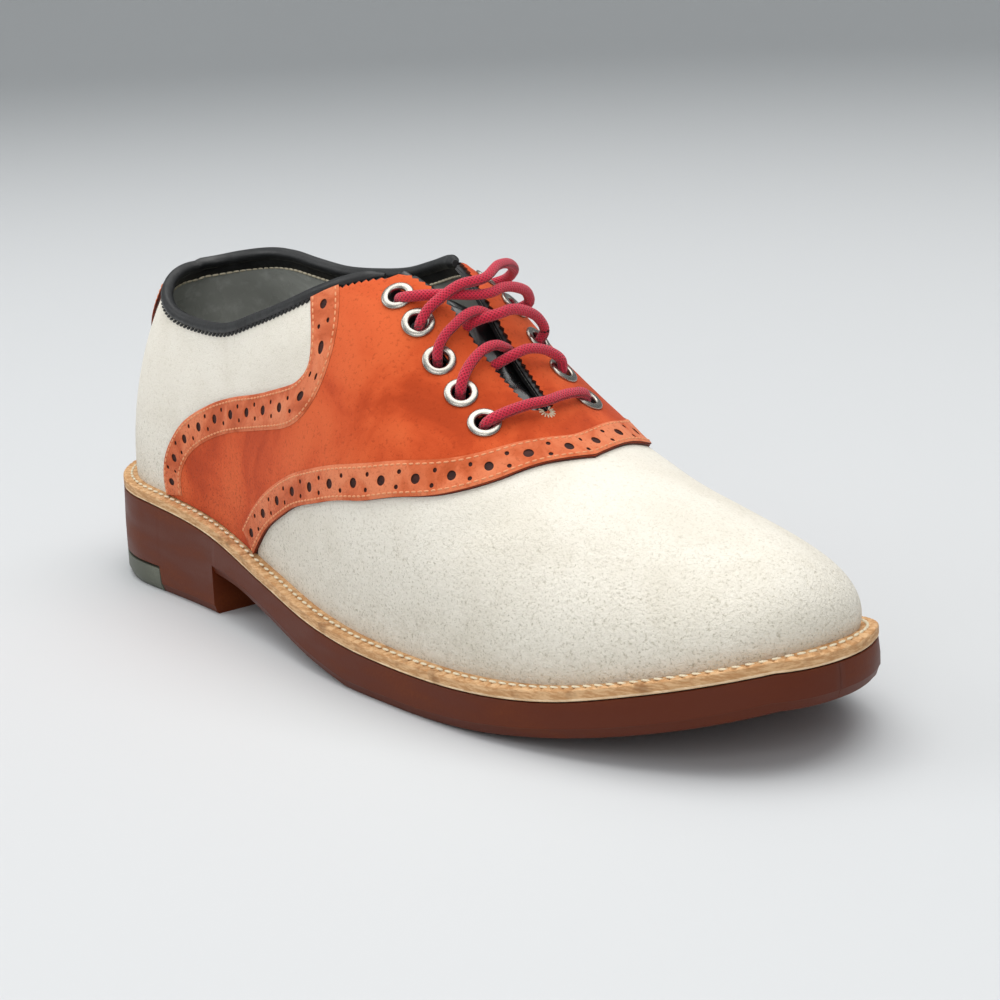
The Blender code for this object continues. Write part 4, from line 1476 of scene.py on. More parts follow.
@dataclass
class Saddle(Panel):
    """The coral saddle over waist and instep, pinked along its top, with brogue bands on its seams.

    Attributes:
        inset: How far its top edge stays back from the facing's edge.
        tooth: Depth of the pinking.
        fade: Distance over which the mesh takes up that shift.
        eyelet_hole: Radius of its holes under the eyelets.
        fan: Radius of the fan of thread at the throat's end.
    """

    inset: float = 0.0006
    tooth: float = 0.0009
    fade: float = 0.0060
    eyelet_hole: float = 0.0029
    fan: float = 0.0017
    TACKS = 11
    FRONT_WIDTHS = (9.5, 9.8, 10.2, 9.8, 9.2, 9.8, 10.2, 9.8, 9.5)
    BACK_WIDTHS = (9.6, 9.6, 9.8, 10.2, 10.6, 11.2, 12.4, 12.6, 11.6)

    def pinked(self) -> Array:
        """The skin's points with the saddle's top edge drawn back in teeth."""
        points = self.skin.points.copy()
        marks = self.skin.marks
        for side in Side:
            for column in range(marks[Seam.SADDLE_BACK], marks[Seam.THROAT]):
                numbers = self.skin.index[side][::-1, column]
                line = self.skin.points[numbers]
                run = run_length(line)
                back = self.inset + self.tooth * (column % 2)
                shifted = run + back * np.clip(1 - run / self.fade, 0, 1)
                points[numbers] = read_rows(line, shifted, run)
        return points

    def build(self) -> None:
        """The panel, its bands and its thread."""
        skin = self.skin
        faces = skin.quads(Seam.SADDLE_BACK, Seam.SADDLE_FRONT)
        faces = faces[skin.without_holes(faces, self.eyelet_hole)]
        self.build_panel("saddle_panel", "saddle", faces, self.pinked())
        fronts = [skin.seam_line(Seam.SADDLE_FRONT, side) for side in Side]
        front = np.concatenate([fronts[0], fronts[1][-2::-1]])
        waist = skin.settle(np.array([[0.10, -0.06, 0.06], [0.10, 0.06, 0.06]]))[0]
        crown = skin.last.beside_crest(0.60, 0.0)
        bands = [PunchedBand(Strip(skin, front, crown, self.FRONT_WIDTHS), "front_band")]
        for side, place in zip(Side, waist):
            strip = Strip(skin, skin.seam_line(Seam.SADDLE_BACK, side)[:-1], place, self.BACK_WIDTHS)
            bands.append(PunchedBand(strip, f"back_band_{side.name.lower()}"))
        self.build_bands("saddle_thread", bands, [])
        self.build_tack()

    def build_tack(self) -> None:
        """The cream thread that fans out round the throat's lower end."""
        skin = self.skin
        end, up = skin.settle(skin.last.beside_crest(skin.THROAT + 0.001, 0.0)[None])
        ahead = unit(np.cross(np.array([0.0, 1.0, 0.0]), up[0]))
        across = np.cross(up[0], ahead)
        frames = []
        for step in range(self.TACKS):
            angle = math.radians(-125 + 250 * step / (self.TACKS - 1))
            out = ahead * math.cos(angle) + across * math.sin(angle)
            place, normal = skin.settle((end[0] + out * self.fan)[None])
            frames.append(frame_at(place[0] + normal[0] * (self.high + 0.05 * MM), out, normal[0]))
        Piece("throat_tack", *repeat(bead(0.0017, 0.0005, 0.0006), frames), self.palette(Look.CREAM),
              Slot.NUBUCK).build()


@dataclass
class HeelTab(Panel):
    """The coral tab round the heel's back, with a short punched band along each edge.

    Attributes:
        strap_high: Height under which it is a plain strap.
    """

    strap_high: float = 0.067
    WIDTHS = (6.4, 7.4, 7.8, 7.8)

    def build(self) -> None:
        """The tab and its thread."""
        skin = self.skin
        self.build_panel("heel_tab_panel", "heel_tab", skin.quads(Seam.HEEL, Seam.TAB), skin.points)
        bands, rows = [], []
        for side in Side:
            whole = skin.seam_line(Seam.TAB, side)
            line = whole[whole[:, 2] > self.strap_high]
            strip = Strip(skin, line, skin.last.point(0.0, 0.8, side), self.WIDTHS)
            bands.append(PunchedBand(strip, f"tab_band_{side.name.lower()}", pitch=8.0, large=1.2, spread=1.6,
                                     first=3.6))
            strap = whole[whole[:, 2] <= self.strap_high] * (1.0, 0.86, 1.0)
            places, normals = skin.settle(respace(strap, 40))
            rows.append(Stitching().along(places + normals * self.high, normals))
        self.build_bands("tab_thread", bands, rows)


@dataclass
class Collar:
    """The rolled binding on the top line, its whip stitches and the thread line inside.

    Attributes:
        skin: The surface under it.
        palette: The finishes.
        out: How far the roll stands out from the outer face.
        inn: How far it stands in from the outer face.
        high: How high it stands over the top line.
        under: How far it reaches below it.
        band: How far below the top line the thread inside runs.
        inside: How far that thread lies in from the outer face.
        square: Power that rounds the roll's section, under 1 for a fuller one.
        AROUND: Points round the roll.
        RINGS: Rings along it.
    """

    skin: Skin
    palette: Palette
    out: float = 0.0014
    inn: float = 0.0027
    high: float = 0.0031
    under: float = 0.0006
    band: float = 0.0036
    inside: float = 0.00205
    square: float = 0.85
    AROUND = 20
    RINGS = 300

    def edge(self) -> tuple[Array, Array, Array]:
        """Points along the top line from one corner to the other, with normals and up directions."""
        skin = self.skin
        end = skin.marks[Seam.CORNER] - 2
        numbers = [*skin.index[Side.LATERAL][-1, :end + 1][::-1], *skin.index[Side.MEDIAL][-1, 1:end + 1]]
        line = skin.points[numbers]
        points = respace(line, self.RINGS)
        run, even = run_length(line), np.linspace(0, run_length(line)[-1], self.RINGS)
        normals = unit(read_rows(skin.normals[numbers], even, run))
        along = unit(np.gradient(points, axis=0))
        up = np.cross(normals, along)
        return points, normals, unit(up * np.sign(up[:, 2:3]))

    def build(self) -> None:
        """The roll and its threads."""
        points, normals, up = self.edge()
        run = run_length(points)
        left = np.minimum(run, run[-1] - run)
        taper = 0.45 + 0.55 * ease(left / 0.006)
        angles = 2 * math.pi * np.arange(self.AROUND) / self.AROUND
        middle, half = (self.out - self.inn) / 2, (self.out + self.inn) / 2
        centre, tall = (self.high - self.under) / 2, (self.high + self.under) / 2
        pucker = 1 + 0.018 * np.sin(run / 0.0021 * math.pi)[:, None] * (np.sin(angles) < 0.2)[None]
        pucker = pucker * (1 + 0.03 * np.sin(run / 0.019 + 2 * np.sin(run / 0.031)))[:, None]
        wide = half * np.sign(np.cos(angles)) * np.abs(np.cos(angles)) ** self.square
        rise = tall * np.sign(np.sin(angles)) * np.abs(np.sin(angles)) ** self.square
        across = middle + wide[None] * pucker * taper[:, None]
        over = centre + (rise[None] * pucker) * taper[:, None]
        rings = points[:, None] + normals[:, None] * across[..., None] + up[:, None] * over[..., None]
        faces = grid_faces(self.RINGS, self.AROUND, wrap=True).tolist() + ring_ends(self.AROUND, self.RINGS)
        Piece("collar_roll", rings.reshape(-1, 3), faces, self.palette(Look.BLACK), Slot.BLACK,
              ("collar_binding",)).build()
        whip = Stitching(0.0023, 0.0019, 0.0010, 0.0009)
        low = points + normals * 0.35 * MM - up * (self.under + 0.2 * MM)
        low, _ = self.skin.settle(low)
        Piece("collar_whip_thread", *whip.along(low + normals * 0.25 * MM, normals, 0.5), self.palette(Look.JET),
              Slot.BLACK).build()
        inside, facing = self.skin.settle(points - up * self.band)
        inner = Stitching(0.0024, 0.0023, 0.0009, 0.0007)
        Piece("collar_inner_thread", *inner.along(inside - facing * self.inside, -facing), self.palette(Look.CREAM),
              Slot.BLACK).build()


@dataclass
class Tongue:
    """The black tongue under the facings, with the soft fold down its middle.

    Attributes:
        skin: The surface over it.
        palette: The finishes.
        thick: Its thickness.
        half: Half of its width, round the instep.
        low: Station of its lower end.
        high: Station of its upper end.
        sink: How much lower it lies under the collar than at the throat's end.
        dip: How much lower its free end lies than that.
        fold: Height of the fold.
        round: How much further down its end lies towards its sides, which rounds it.
        ROWS: Rows of points along it.
        COLUMNS: Points across it.
    """

    skin: Skin
    palette: Palette
    thick: float = 0.0030
    half: float = 0.0260
    low: float = 0.675
    high: float = 0.385
    round: float = 2.2
    sink: float = 0.0034
    dip: float = 0.0042
    fold: float = 0.0016
    ROWS = 64
    COLUMNS = 41

    def build(self) -> None:
        """The tongue."""
        last = self.skin.last
        stations = np.linspace(self.low, self.high, self.ROWS)
        across = np.linspace(-self.half, self.half, self.COLUMNS)
        places = np.empty((self.ROWS, self.COLUMNS, 3))
        for row, station in enumerate(stations):
            part = row / (self.ROWS - 1)
            for column, distance in enumerate(across):
                side = Side.LATERAL if distance < 0 else Side.MEDIAL
                narrow = abs(distance) * (0.80 + 0.20 * part)
                at = station + narrow * self.round
                places[row, column] = last.point(at, last.share_at_arc(at, side, narrow), side)
        ups = unit(np.cross(np.gradient(places, axis=1), np.gradient(places, axis=0)))
        ups *= np.sign(ups[..., 2:3])
        part = np.linspace(0, 1, self.ROWS)[:, None]
        sink = 0.0026 + self.sink * np.minimum(1.0, 1.5 * part) ** 2 + self.dip * ease((part - 0.55) / 0.3)
        offset = across[None] - 0.0016 * np.sin(part * 5.0)
        fold = np.exp(-(offset / 0.0030) ** 2) - 0.7 * np.exp(-((offset - 0.0055) / 0.0028) ** 2)
        wave = 0.35 * MM * np.sin(part * 34 + across[None] * 180) * np.exp(-(across[None] / 0.012) ** 2)
        top = places + ups * (-sink + (self.fold * fold * (0.35 + 0.65 * part) + wave))[..., None]
        bottom = places - ups * (sink + self.thick)[..., None]
        flat = top.reshape(-1, 3)
        faces = outward(grid_faces(self.ROWS, self.COLUMNS), flat, np.tile([0.0, 0.0, 1.0], (len(flat), 1)))
        points, listed, _ = close_sheet(bottom.reshape(-1, 3), flat, faces)
        Piece("tongue_leather", points, listed, self.palette(Look.TONGUE), Slot.BLACK, ("tongue",)).build()


# Eyelets and laces

@dataclass
class Eyelets:
    """Plated eyelets set in both facings, with plain flanges, and black sleeves in their bores as painted shade.

    Attributes:
        skin: The surface under them.
        palette: The finishes.
        lift: Height of the leather's face over the skin.
    """

    skin: Skin
    palette: Palette
    lift: float = 0.00110
    PROFILE = ((2.72, -1.2), (2.60, -0.2), (2.62, 0.34), (2.80, 0.62), (3.15, 0.76), (3.70, 0.74), (4.30, 0.66),
               (4.66, 0.48), (4.80, 0.18), (4.70, -0.20), (3.00, -0.25), (2.95, -1.2))
    # A black sleeve lining each barrel and the hole through the leather: painted shade inside the eyelet.
    BORE = ((2.56, -0.35), (2.50, -3.2), (2.95, -3.2), (2.95, -1.25), (2.70, -1.22))

    def build(self) -> None:
        """Five on each side."""
        for side in Side:
            frames = []
            names = []
            for at, pair, place, normal in self.skin.eyelet_places():
                if at is side:
                    frames.append(frame_at(place + normal * self.lift, np.array([1.0, 0.0, 0.0]), normal))
                    names.append(f"eyelet_{side.name.lower()}_{pair + 1}")
            ring = lathe([(radius * MM, height * MM) for radius, height in self.PROFILE], 44)
            bore = lathe([(radius * MM, height * MM) for radius, height in self.BORE], 28)
            Piece(f"eyelets_{side.name.lower()}", *repeat(ring, frames), self.palette(Look.NICKEL), Slot.NICKEL,
                  tuple(names), sharp=70).build()
            # The black sleeves, painted shade inside the eyelets.
            Piece(f"eyelet_bores_{side.name.lower()}", *repeat(bore, frames), self.palette(Look.BLACK),
                  Slot.BLACK).build()


@dataclass(frozen=True)
class Strand:
    """One visible run of the lace.

    Attributes:
        name: Its name.
        route: Eyelet pair from the top, distance from the crest and height over the skin, the last two
            in millimetres, for each point that it passes.
        stands_for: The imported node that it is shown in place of.
    """

    name: str
    route: tuple[tuple[float, float, float], ...]
    stands_for: tuple[str, ...] = ()


STRANDS = (
    Strand("lace_lowest_bar", (
        (4.02, -18.6, -2.6), (4.02, -18.5, 0.4), (4.07, -17.3, 2.4), (4.11, -14.3, 3.4), (4.12, -10.5, 3.9),
        (4.10, -6.0, 4.2), (4.06, -0.8, 4.3), (4.03, 4.8, 4.1), (4.01, 10.6, 3.7), (4.00, 15.6, 2.8),
        (4.0, 18.0, 0.6), (4.0, 18.5, -2.6)), ("lace_bar",)),
    Strand("lace_fourth_lateral", (
        (2.97, -18.4, -2.6), (2.93, -18.2, 0.4), (2.79, -16.8, 2.8), (2.56, -13.8, 4.3), (2.34, -10.3, 5.2),
        (2.16, -7.0, 5.4), (2.02, -3.4, 4.9), (1.94, 0.2, 3.2), (2.0, 3.8, 0.4), (2.04, 7.0, -2.4),
        (2.08, 11.0, -4.2)), ("lace_crossing_4",)),
    Strand("lace_fourth_medial", (
        (3.0, 18.5, -2.6), (2.98, 18.6, 0.6), (2.86, 17.6, 3.0), (2.66, 13.4, 4.6), (2.50, 8.6, 5.3),
        (2.38, 4.2, 5.3), (2.30, 0.6, 4.2), (2.30, -1.8, 2.0), (2.32, -4.2, -0.8), (2.36, -9.0, -4.0))),
    Strand("lace_third_lateral", (
        (1.98, -18.5, -2.6), (1.95, -18.7, 0.4), (1.80, -17.6, 3.0), (1.63, -15.1, 4.5), (1.46, -11.8, 5.4),
        (1.25, -8.0, 5.9), (1.07, -3.9, 5.6), (1.0, 0.6, 3.8), (1.06, 4.6, 0.8), (1.08, 8.0, -2.2),
        (1.08, 12.0, -4.2)), ("lace_crossing_3",)),
    Strand("lace_third_medial", (
        (2.0, 18.6, -2.6), (1.99, 19.4, 0.6), (1.93, 19.2, 3.6), (1.73, 15.4, 6.4), (1.52, 10.2, 7.5),
        (1.34, 5.4, 7.8), (1.22, 1.2, 7.1), (1.20, -2.0, 5.4), (1.22, -4.4, 2.8), (1.26, -6.6, -0.6),
        (1.30, -11.0, -4.2))),
    Strand("lace_second_lateral", (
        (1.0, -18.5, -2.6), (1.10, -18.9, 0.2), (1.10, -18.6, 2.6), (0.96, -15.9, 4.8), (0.76, -11.2, 6.6),
        (0.52, -5.8, 8.4), (0.34, 0.2, 10.0), (0.36, 7.2, 10.6), (0.40, 13.4, 9.8), (0.38, 18.4, 7.6),
        (0.24, 20.6, 4.4), (0.08, 19.6, 1.0), (0.0, 18.5, -2.6)), ("lace_crossing_2",)),
    Strand("lace_second_medial", (
        (1.0, 18.5, -2.6), (1.08, 20.0, 1.2), (1.12, 20.6, 4.4), (1.06, 17.6, 6.8), (0.94, 12.4, 7.8),
        (0.80, 7.1, 7.9), (0.68, 1.9, 7.3), (0.63, -3.1, 6.3), (0.60, -7.3, 5.2), (0.54, -11.3, 4.3),
        (0.42, -15.1, 3.4), (0.22, -17.8, 2.0), (0.04, -18.5, 0.2), (0.0, -18.5, -2.6)), ("lace_crossing_1",)),
)


@dataclass
class Lacing:
    """The round lace: a bar over the lowest pair, and open crossings above it, its ends hidden.

    Attributes:
        skin: The surface that it passes over.
        palette: The finishes.
        radius: Radius of the cord.
    """

    skin: Skin
    palette: Palette
    radius: float = 0.00152

    def path(self, strand: Strand) -> Array:
        """Points of a strand's middle line."""
        last, skin = self.skin.last, self.skin
        points = []
        for pair, distance, lift in strand.route:
            station = skin.EYELETS[0] + (skin.EYELETS[1] - skin.EYELETS[0]) * pair / (skin.PAIRS - 1)
            place = last.beside_crest(station, distance * MM)
            ahead = last.beside_crest(station + 0.004, distance * MM) - place
            normal = unit(np.cross(ahead, last.beside_crest(station, (distance + 2) * MM) - place))
            points.append(place + normal * lift * MM)
        return spline(np.array(points), 90)

    def build(self) -> None:
        """All the strands."""
        for number, strand in enumerate(STRANDS):
            path = self.path(strand)
            swell = self.radius * (1 + 0.04 * np.sin(run_length(path) / 0.0061 + number))
            points, faces, uv = tube(path, swell)
            Piece(strand.name, points, faces, self.palette(Look.CORD), Slot.CORD, strand.stands_for,
                  uv=uv).build()


# The bottom

@dataclass
class Bottom:
    """Plan of the sole: outlines round the feather line, at even places.

    Attributes:
        last: The form that it is made for.
        margin: How far the rubber's top edge stands out from the feather line.
    """

    last: Last
    margin: float = 0.0047

    def outline(self, stations: Array, side: Side, margin: float) -> Array:
        """The feather line moved out by a margin, in plan."""
        ahead = self.last.feather(np.clip(stations + 1e-4, 0, 1), side)[..., :2]
        behind = self.last.feather(np.clip(stations - 1e-4, 0, 1), side)[..., :2]
        along = unit(ahead - behind)
        out = np.stack([along[..., 1], -along[..., 0]], -1) * -side
        return self.last.feather(stations, side)[..., :2] + out * margin

    def stations(self, side: Side, count: int) -> Array:
        """Stations at even distances along the outline."""
        fine = (1 - np.cos(math.pi * np.linspace(0, 1, 4001))) / 2
        run = run_length(self.outline(fine, side, self.margin))
        return np.interp(np.linspace(0, run[-1], count), run, fine)

    def around(self, margin: float, count: int) -> Array:
        """A closed outline in plan: the outer side from heel to toe, then the inner side back."""
        sides = [self.outline(self.stations(side, count), side, margin) for side in Side]
        return np.concatenate([sides[0], sides[1][-2:0:-1]])

    def bed_at(self, plan: Array) -> Array:
        """Height of the rubber's top under points in plan."""
        return self.last.bed(self.last.station_at(plan[..., 0]))


@dataclass
class Welt:
    """The leather strip all round, wheeled and stitched on top.

    Attributes:
        bottom: The sole's plan.
        palette: The finishes.
        pitch: Distance from one wheel mark to the next.
        notch: Depth of a wheel mark.
        seam: Distance of the stitches from the feather line.
        PLACES: Points along each half of the shoe.
        PROFILE: Its section, as margins and heights in millimetres.
    """

    bottom: Bottom
    palette: Palette
    pitch: float = 0.0034
    notch: float = 0.00055
    seam: float = 0.00185
    PLACES = 560
    PROFILE = ((-6.0, 0.0), (4.3, 0.0), (4.68, 0.25), (4.74, 0.75), (4.72, 1.6), (4.72, 2.5), (4.66, 3.0),
               (4.35, 3.36), (3.7, 3.52), (2.9, 3.46), (2.2, 3.30), (1.5, 3.30), (0.8, 3.44), (0.0, 3.46),
               (-1.2, 3.40), (-6.0, 3.4))

    def build(self) -> None:
        """The strip and its thread."""
        run = run_length(self.bottom.around(self.bottom.margin, self.PLACES))
        wheel = 0.5 + 0.5 * np.cos(2 * math.pi * run / self.pitch)
        loops = []
        for margin, rise in self.PROFILE:
            plan = self.bottom.around(margin * MM, self.PLACES)
            on_top = rise > 3.2 and 0.5 < margin < 4.5
            height = self.bottom.bed_at(plan) + 0.3 * MM + rise * MM - (wheel ** 3 * self.notch if on_top else 0)
            if 4.3 < margin:
                rough = 0.10 * MM * np.sin(run / 0.0023 + 2.1 * np.sin(run / 0.0061))
                plan = plan + (rough if 0.3 < rise < 2.9 else 0 * rough)[:, None] * unit(plan - plan.mean(0))
            loops.append(np.column_stack([plan, height]))
        grid = np.stack(loops, 1)
        around = len(self.PROFILE)
        number = np.arange(grid.shape[0] * around).reshape(grid.shape[0], around)
        number = np.concatenate([number, number[:1]], 0)
        number = np.concatenate([number, number[:, :1]], 1)
        faces = np.stack([number[:-1, :-1], number[1:, :-1], number[1:, 1:], number[:-1, 1:]], -1).reshape(-1, 4)
        pale = np.tile(np.isin(np.arange(around), (1, 2)), grid.shape[0])
        Piece("welt_strip", grid.reshape(-1, 3), faces.tolist(), self.palette(Look.WELT, Look.WELT_LINE), Slot.WELT,
              ("welt",), pale).build()
        plan = self.bottom.around(self.seam, self.PLACES)
        line = np.column_stack([plan, self.bottom.bed_at(plan) + 3.66 * MM])
        line = np.concatenate([line, line[:1]])
        ups = np.tile([0.0, 0.0, 1.0], (len(line), 1))
        thread = Stitching(self.pitch, 0.0027, 0.00095, 0.0008)
        Piece("welt_thread", *thread.along(line, ups), self.palette(Look.CREAM), Slot.WELT).build()


@dataclass
class RubberSole:
    """The brick rubber unit with its heel, and the grey tip let into the heel's back.

    Attributes:
        bottom: The sole's plan.
        palette: The finishes.
        breast: Place of the heel's front on the floor.
        breast_height: Height of the arch there.
        breast_slope: How far the heel's front leans forward.
        flare: How much wider the sole is at the bottom.
        bevel: Height of the moulded line over its lower edge.
        tuck: How far its lower edge is drawn in.
        tip_height: Height of the grey tip.
        tip_front: Place of the tip's front on the floor.
        tip_slope: How far that front leans.
        flat_end: Station where the tread starts to lift towards the toe.
        groove: Depth of the tread's grooves.
        groove_pitch: Distance from one groove to the next.
        inner: How far the bed's raised middle stays back from the feather line.
        ACROSS: Points across its underside.
        RINGS: Sections spread from heel to toe, crowded at both ends.
        EVEN_RINGS: Sections at even stations between them.
        TREADS: Where the treads lie along the floor.
    """

    bottom: Bottom
    palette: Palette
    breast: float = 0.0415
    breast_height: float = 0.0136
    breast_slope: float = 0.0015
    flare: float = 0.0005
    bevel: float = 0.0028
    tuck: float = 0.0010
    tip_height: float = 0.0076
    tip_front: float = 0.0075
    tip_slope: float = 0.0010
    flat_end: float = 0.635
    groove: float = 0.0010
    groove_pitch: float = 0.0075
    inner: float = -0.0063
    ACROSS = 26
    RINGS = 150
    EVEN_RINGS = 360
    TREADS = ((0.002, 0.0355), (0.115, 0.235))

    def tread(self, station: Array) -> Array:
        """Height of the underside in front of the heel."""
        arch = smooth(station, ARCH[:, 0], ARCH[:, 1]) * self.breast_height
        part = np.clip((station - self.flat_end) / (1 - self.flat_end), 0, 1)
        return arch + part ** 2 * self.bottom.last.toe_spring

    def ring(self, station: float, under: float | None, exact: float | None) -> Array:
        """One closed section across the sole.

        Args:
            station: Its station.
            under: Height of its underside, or None for the tread's own.
            exact: Distance along the floor that its sides are held at, or None.

        Returns:
            Its points, from the middle of the bed over the outer side, the underside and the inner side.
        """
        last, edge = self.bottom.last, self.bottom.margin + self.flare
        at = np.array([station])
        sides = {}
        for side in Side:
            points = []
            for margin, level in ((self.inner, "raised"), (self.inner, "bed"), (self.bottom.margin - 0.3 * MM, "bed"),
                                  (self.bottom.margin, "shoulder"), (edge - 0.05 * MM, "wall"), (edge, "bevel"),
                                  (edge - 0.25 * MM, "line"), (edge - self.tuck, "toe"),
                                  (edge - self.tuck - 0.6 * MM, "under")):
                x, y = self.bottom.outline(at, side, margin)[0]
                x = exact if exact is not None and margin > 0 else x
                own = last.station_at(x)
                base = under if under is not None else float(self.tread(own))
                bed = float(last.bed(own))
                bevel = self.bevel if under is None or under == 0 else 0.6 * MM
                height = {"raised": bed + 0.3 * MM + last.welt_thick, "bed": bed, "shoulder": bed - 0.25 * MM,
                          "wall": base + bevel + (bed - base - bevel) * 0.45, "bevel": base + bevel + 0.15 * MM,
                          "line": base + bevel - 0.1 * MM, "toe": base + 0.5 * MM, "under": base}[level]
                points.append((x, y, height))
            sides[side] = np.array(points)
        outer, inner_side = sides[Side.LATERAL], sides[Side.MEDIAL]
        share = np.linspace(0, 1, self.ACROSS)[1:-1, None]
        across = outer[-1] + (inner_side[-1] - outer[-1]) * share
        middle = (outer[0] + inner_side[0]) / 2
        return np.concatenate([middle[None], outer, across, inner_side[::-1]])

    def loft(self, rings: list[Array]) -> tuple[Array, list]:
        """Join sections into a closed body."""
        grid = np.stack(rings)
        faces = grid_faces(*grid.shape[:2], wrap=True).tolist()
        faces += ring_ends(grid.shape[1], len(rings))
        return grid.reshape(-1, 3), faces

    def cut_tread(self, points: Array) -> None:
        """Press the tread's cross grooves into the underside."""
        last, place = self.bottom.last, points[:, 0]
        under = self.tread(last.station_at(place))
        heel = place < self.breast
        level = np.where(heel, 0.0, under)
        low = np.abs(points[:, 2] - level) < 0.15 * MM
        centre = last.section("swing", last.station_at(place)) * last.ball_width
        half = np.where(heel, 0.024, 0.036)
        side = ease((half - np.abs(points[:, 1] - centre)) / 0.003)
        treads = np.any([(place > start) & (place < end) for start, end in self.TREADS], axis=0)
        turn = (place + 0.05 * np.abs(points[:, 1] - centre)) / self.groove_pitch
        wave = ease(3.2 * np.cos(2 * math.pi * turn) - 1.6)
        points[low & treads, 2] += (wave * side * self.groove)[low & treads]

    def build(self) -> None:
        """The unit and the tip."""
        last = self.bottom.last
        exact = {float(last.station_at(place)): place
                 for place in (self.tip_front, self.tip_front + self.tip_slope,
                               self.breast, self.breast + self.breast_slope)}
        notch, _, breast, _ = exact
        even = np.concatenate([(1 - np.cos(math.pi * np.linspace(0, 1, self.RINGS))) / 2,
                               np.linspace(0.02, 0.97, self.EVEN_RINGS)])
        stations = np.unique([*even[[np.min(np.abs(value - np.array(list(exact)))) > 0.0012 for value in even]],
                              *exact])
        rings = []
        for station in stations:
            in_notch, in_heel = station <= notch + 1e-9, station <= breast + 1e-9
            under = self.tip_height + 0.3 * MM if in_notch else 0.0 if in_heel else None
            rings.append(self.ring(float(station), under, exact.get(float(station))))
        points, faces = self.loft(rings)
        self.cut_tread(points)
        Piece("rubber_unit", points, faces, self.palette(Look.BRICK), Slot.BRICK, ("outsole",), sharp=38).build()
        self.build_tip([float(station) for station in stations if station <= notch + 1e-9])

    def build_tip(self, stations: list[float]) -> None:
        """The grey tip under the heel's back."""
        edge = self.bottom.margin + self.flare
        rings = []
        for number, station in enumerate(stations):
            at = np.array([station])
            sides = {}
            for side in Side:
                points = []
                for margin, height in ((edge - 0.2 * MM, self.tip_height), (edge, self.tip_height - 0.25 * MM),
                                       (edge, self.bevel), (edge - self.tuck, 0.3 * MM),
                                       (edge - self.tuck - 0.4 * MM, 0.0)):
                    x, y = self.bottom.outline(at, side, margin)[0]
                    if number == len(stations) - 1:
                        x = self.tip_front + self.tip_slope * (1 - height / self.tip_height) - 0.3 * MM
                    points.append((x, y, height))
                sides[side] = np.array(points)
            rings.append(np.concatenate([sides[Side.LATERAL], sides[Side.MEDIAL][::-1]]))
        points, faces = self.loft(rings)
        Piece("heel_tip_rubber", points, faces, self.palette(Look.GREY), Slot.GREY, ("heel_tip",), sharp=38).build()


@dataclass
class Insole:
    """The sock over the inner sole, slightly cupped at the heel.

    Attributes:
        bottom: The sole's plan.
        palette: The finishes.
        wall: How far it stays in from the feather line.
        thick: Height of its face over its underside, with the cup's depth.
        ALONG: Points along it.
        ACROSS: Points across it.
    """

    bottom: Bottom
    palette: Palette
    wall: float = 0.0026
    thick: float = 0.0025
    ALONG = 130
    ACROSS = 25

    def build(self) -> None:
        """The sock."""
        last = self.bottom.last
        stations = (1 - np.cos(math.pi * np.linspace(0.004, 0.996, self.ALONG))) / 2
        sides = [self.bottom.outline(stations, side, -self.wall) for side in Side]
        share = np.linspace(0, 1, self.ACROSS)[None, :, None]
        plan = sides[0][:, None] * (1 - share) + sides[1][:, None] * share
        base = self.bottom.bed_at(plan) + last.welt_thick + 0.6 * MM
        cup = 0.6 * MM * (2 * share[..., 0] - 1) ** 2 * ease((0.1 - plan[..., 0]) / 0.06)
        top = np.concatenate([plan, (base + self.thick - 0.5 * MM + cup)[..., None]], -1).reshape(-1, 3)
        low = np.concatenate([plan, base[..., None]], -1).reshape(-1, 3)
        points, faces, _ = close_sheet(low, top, grid_faces(*plan.shape[:2]))
        Piece("sock_lining", points, faces, self.palette(Look.SOCK), Slot.INSOLE, ("insole",)).build()


# The studio

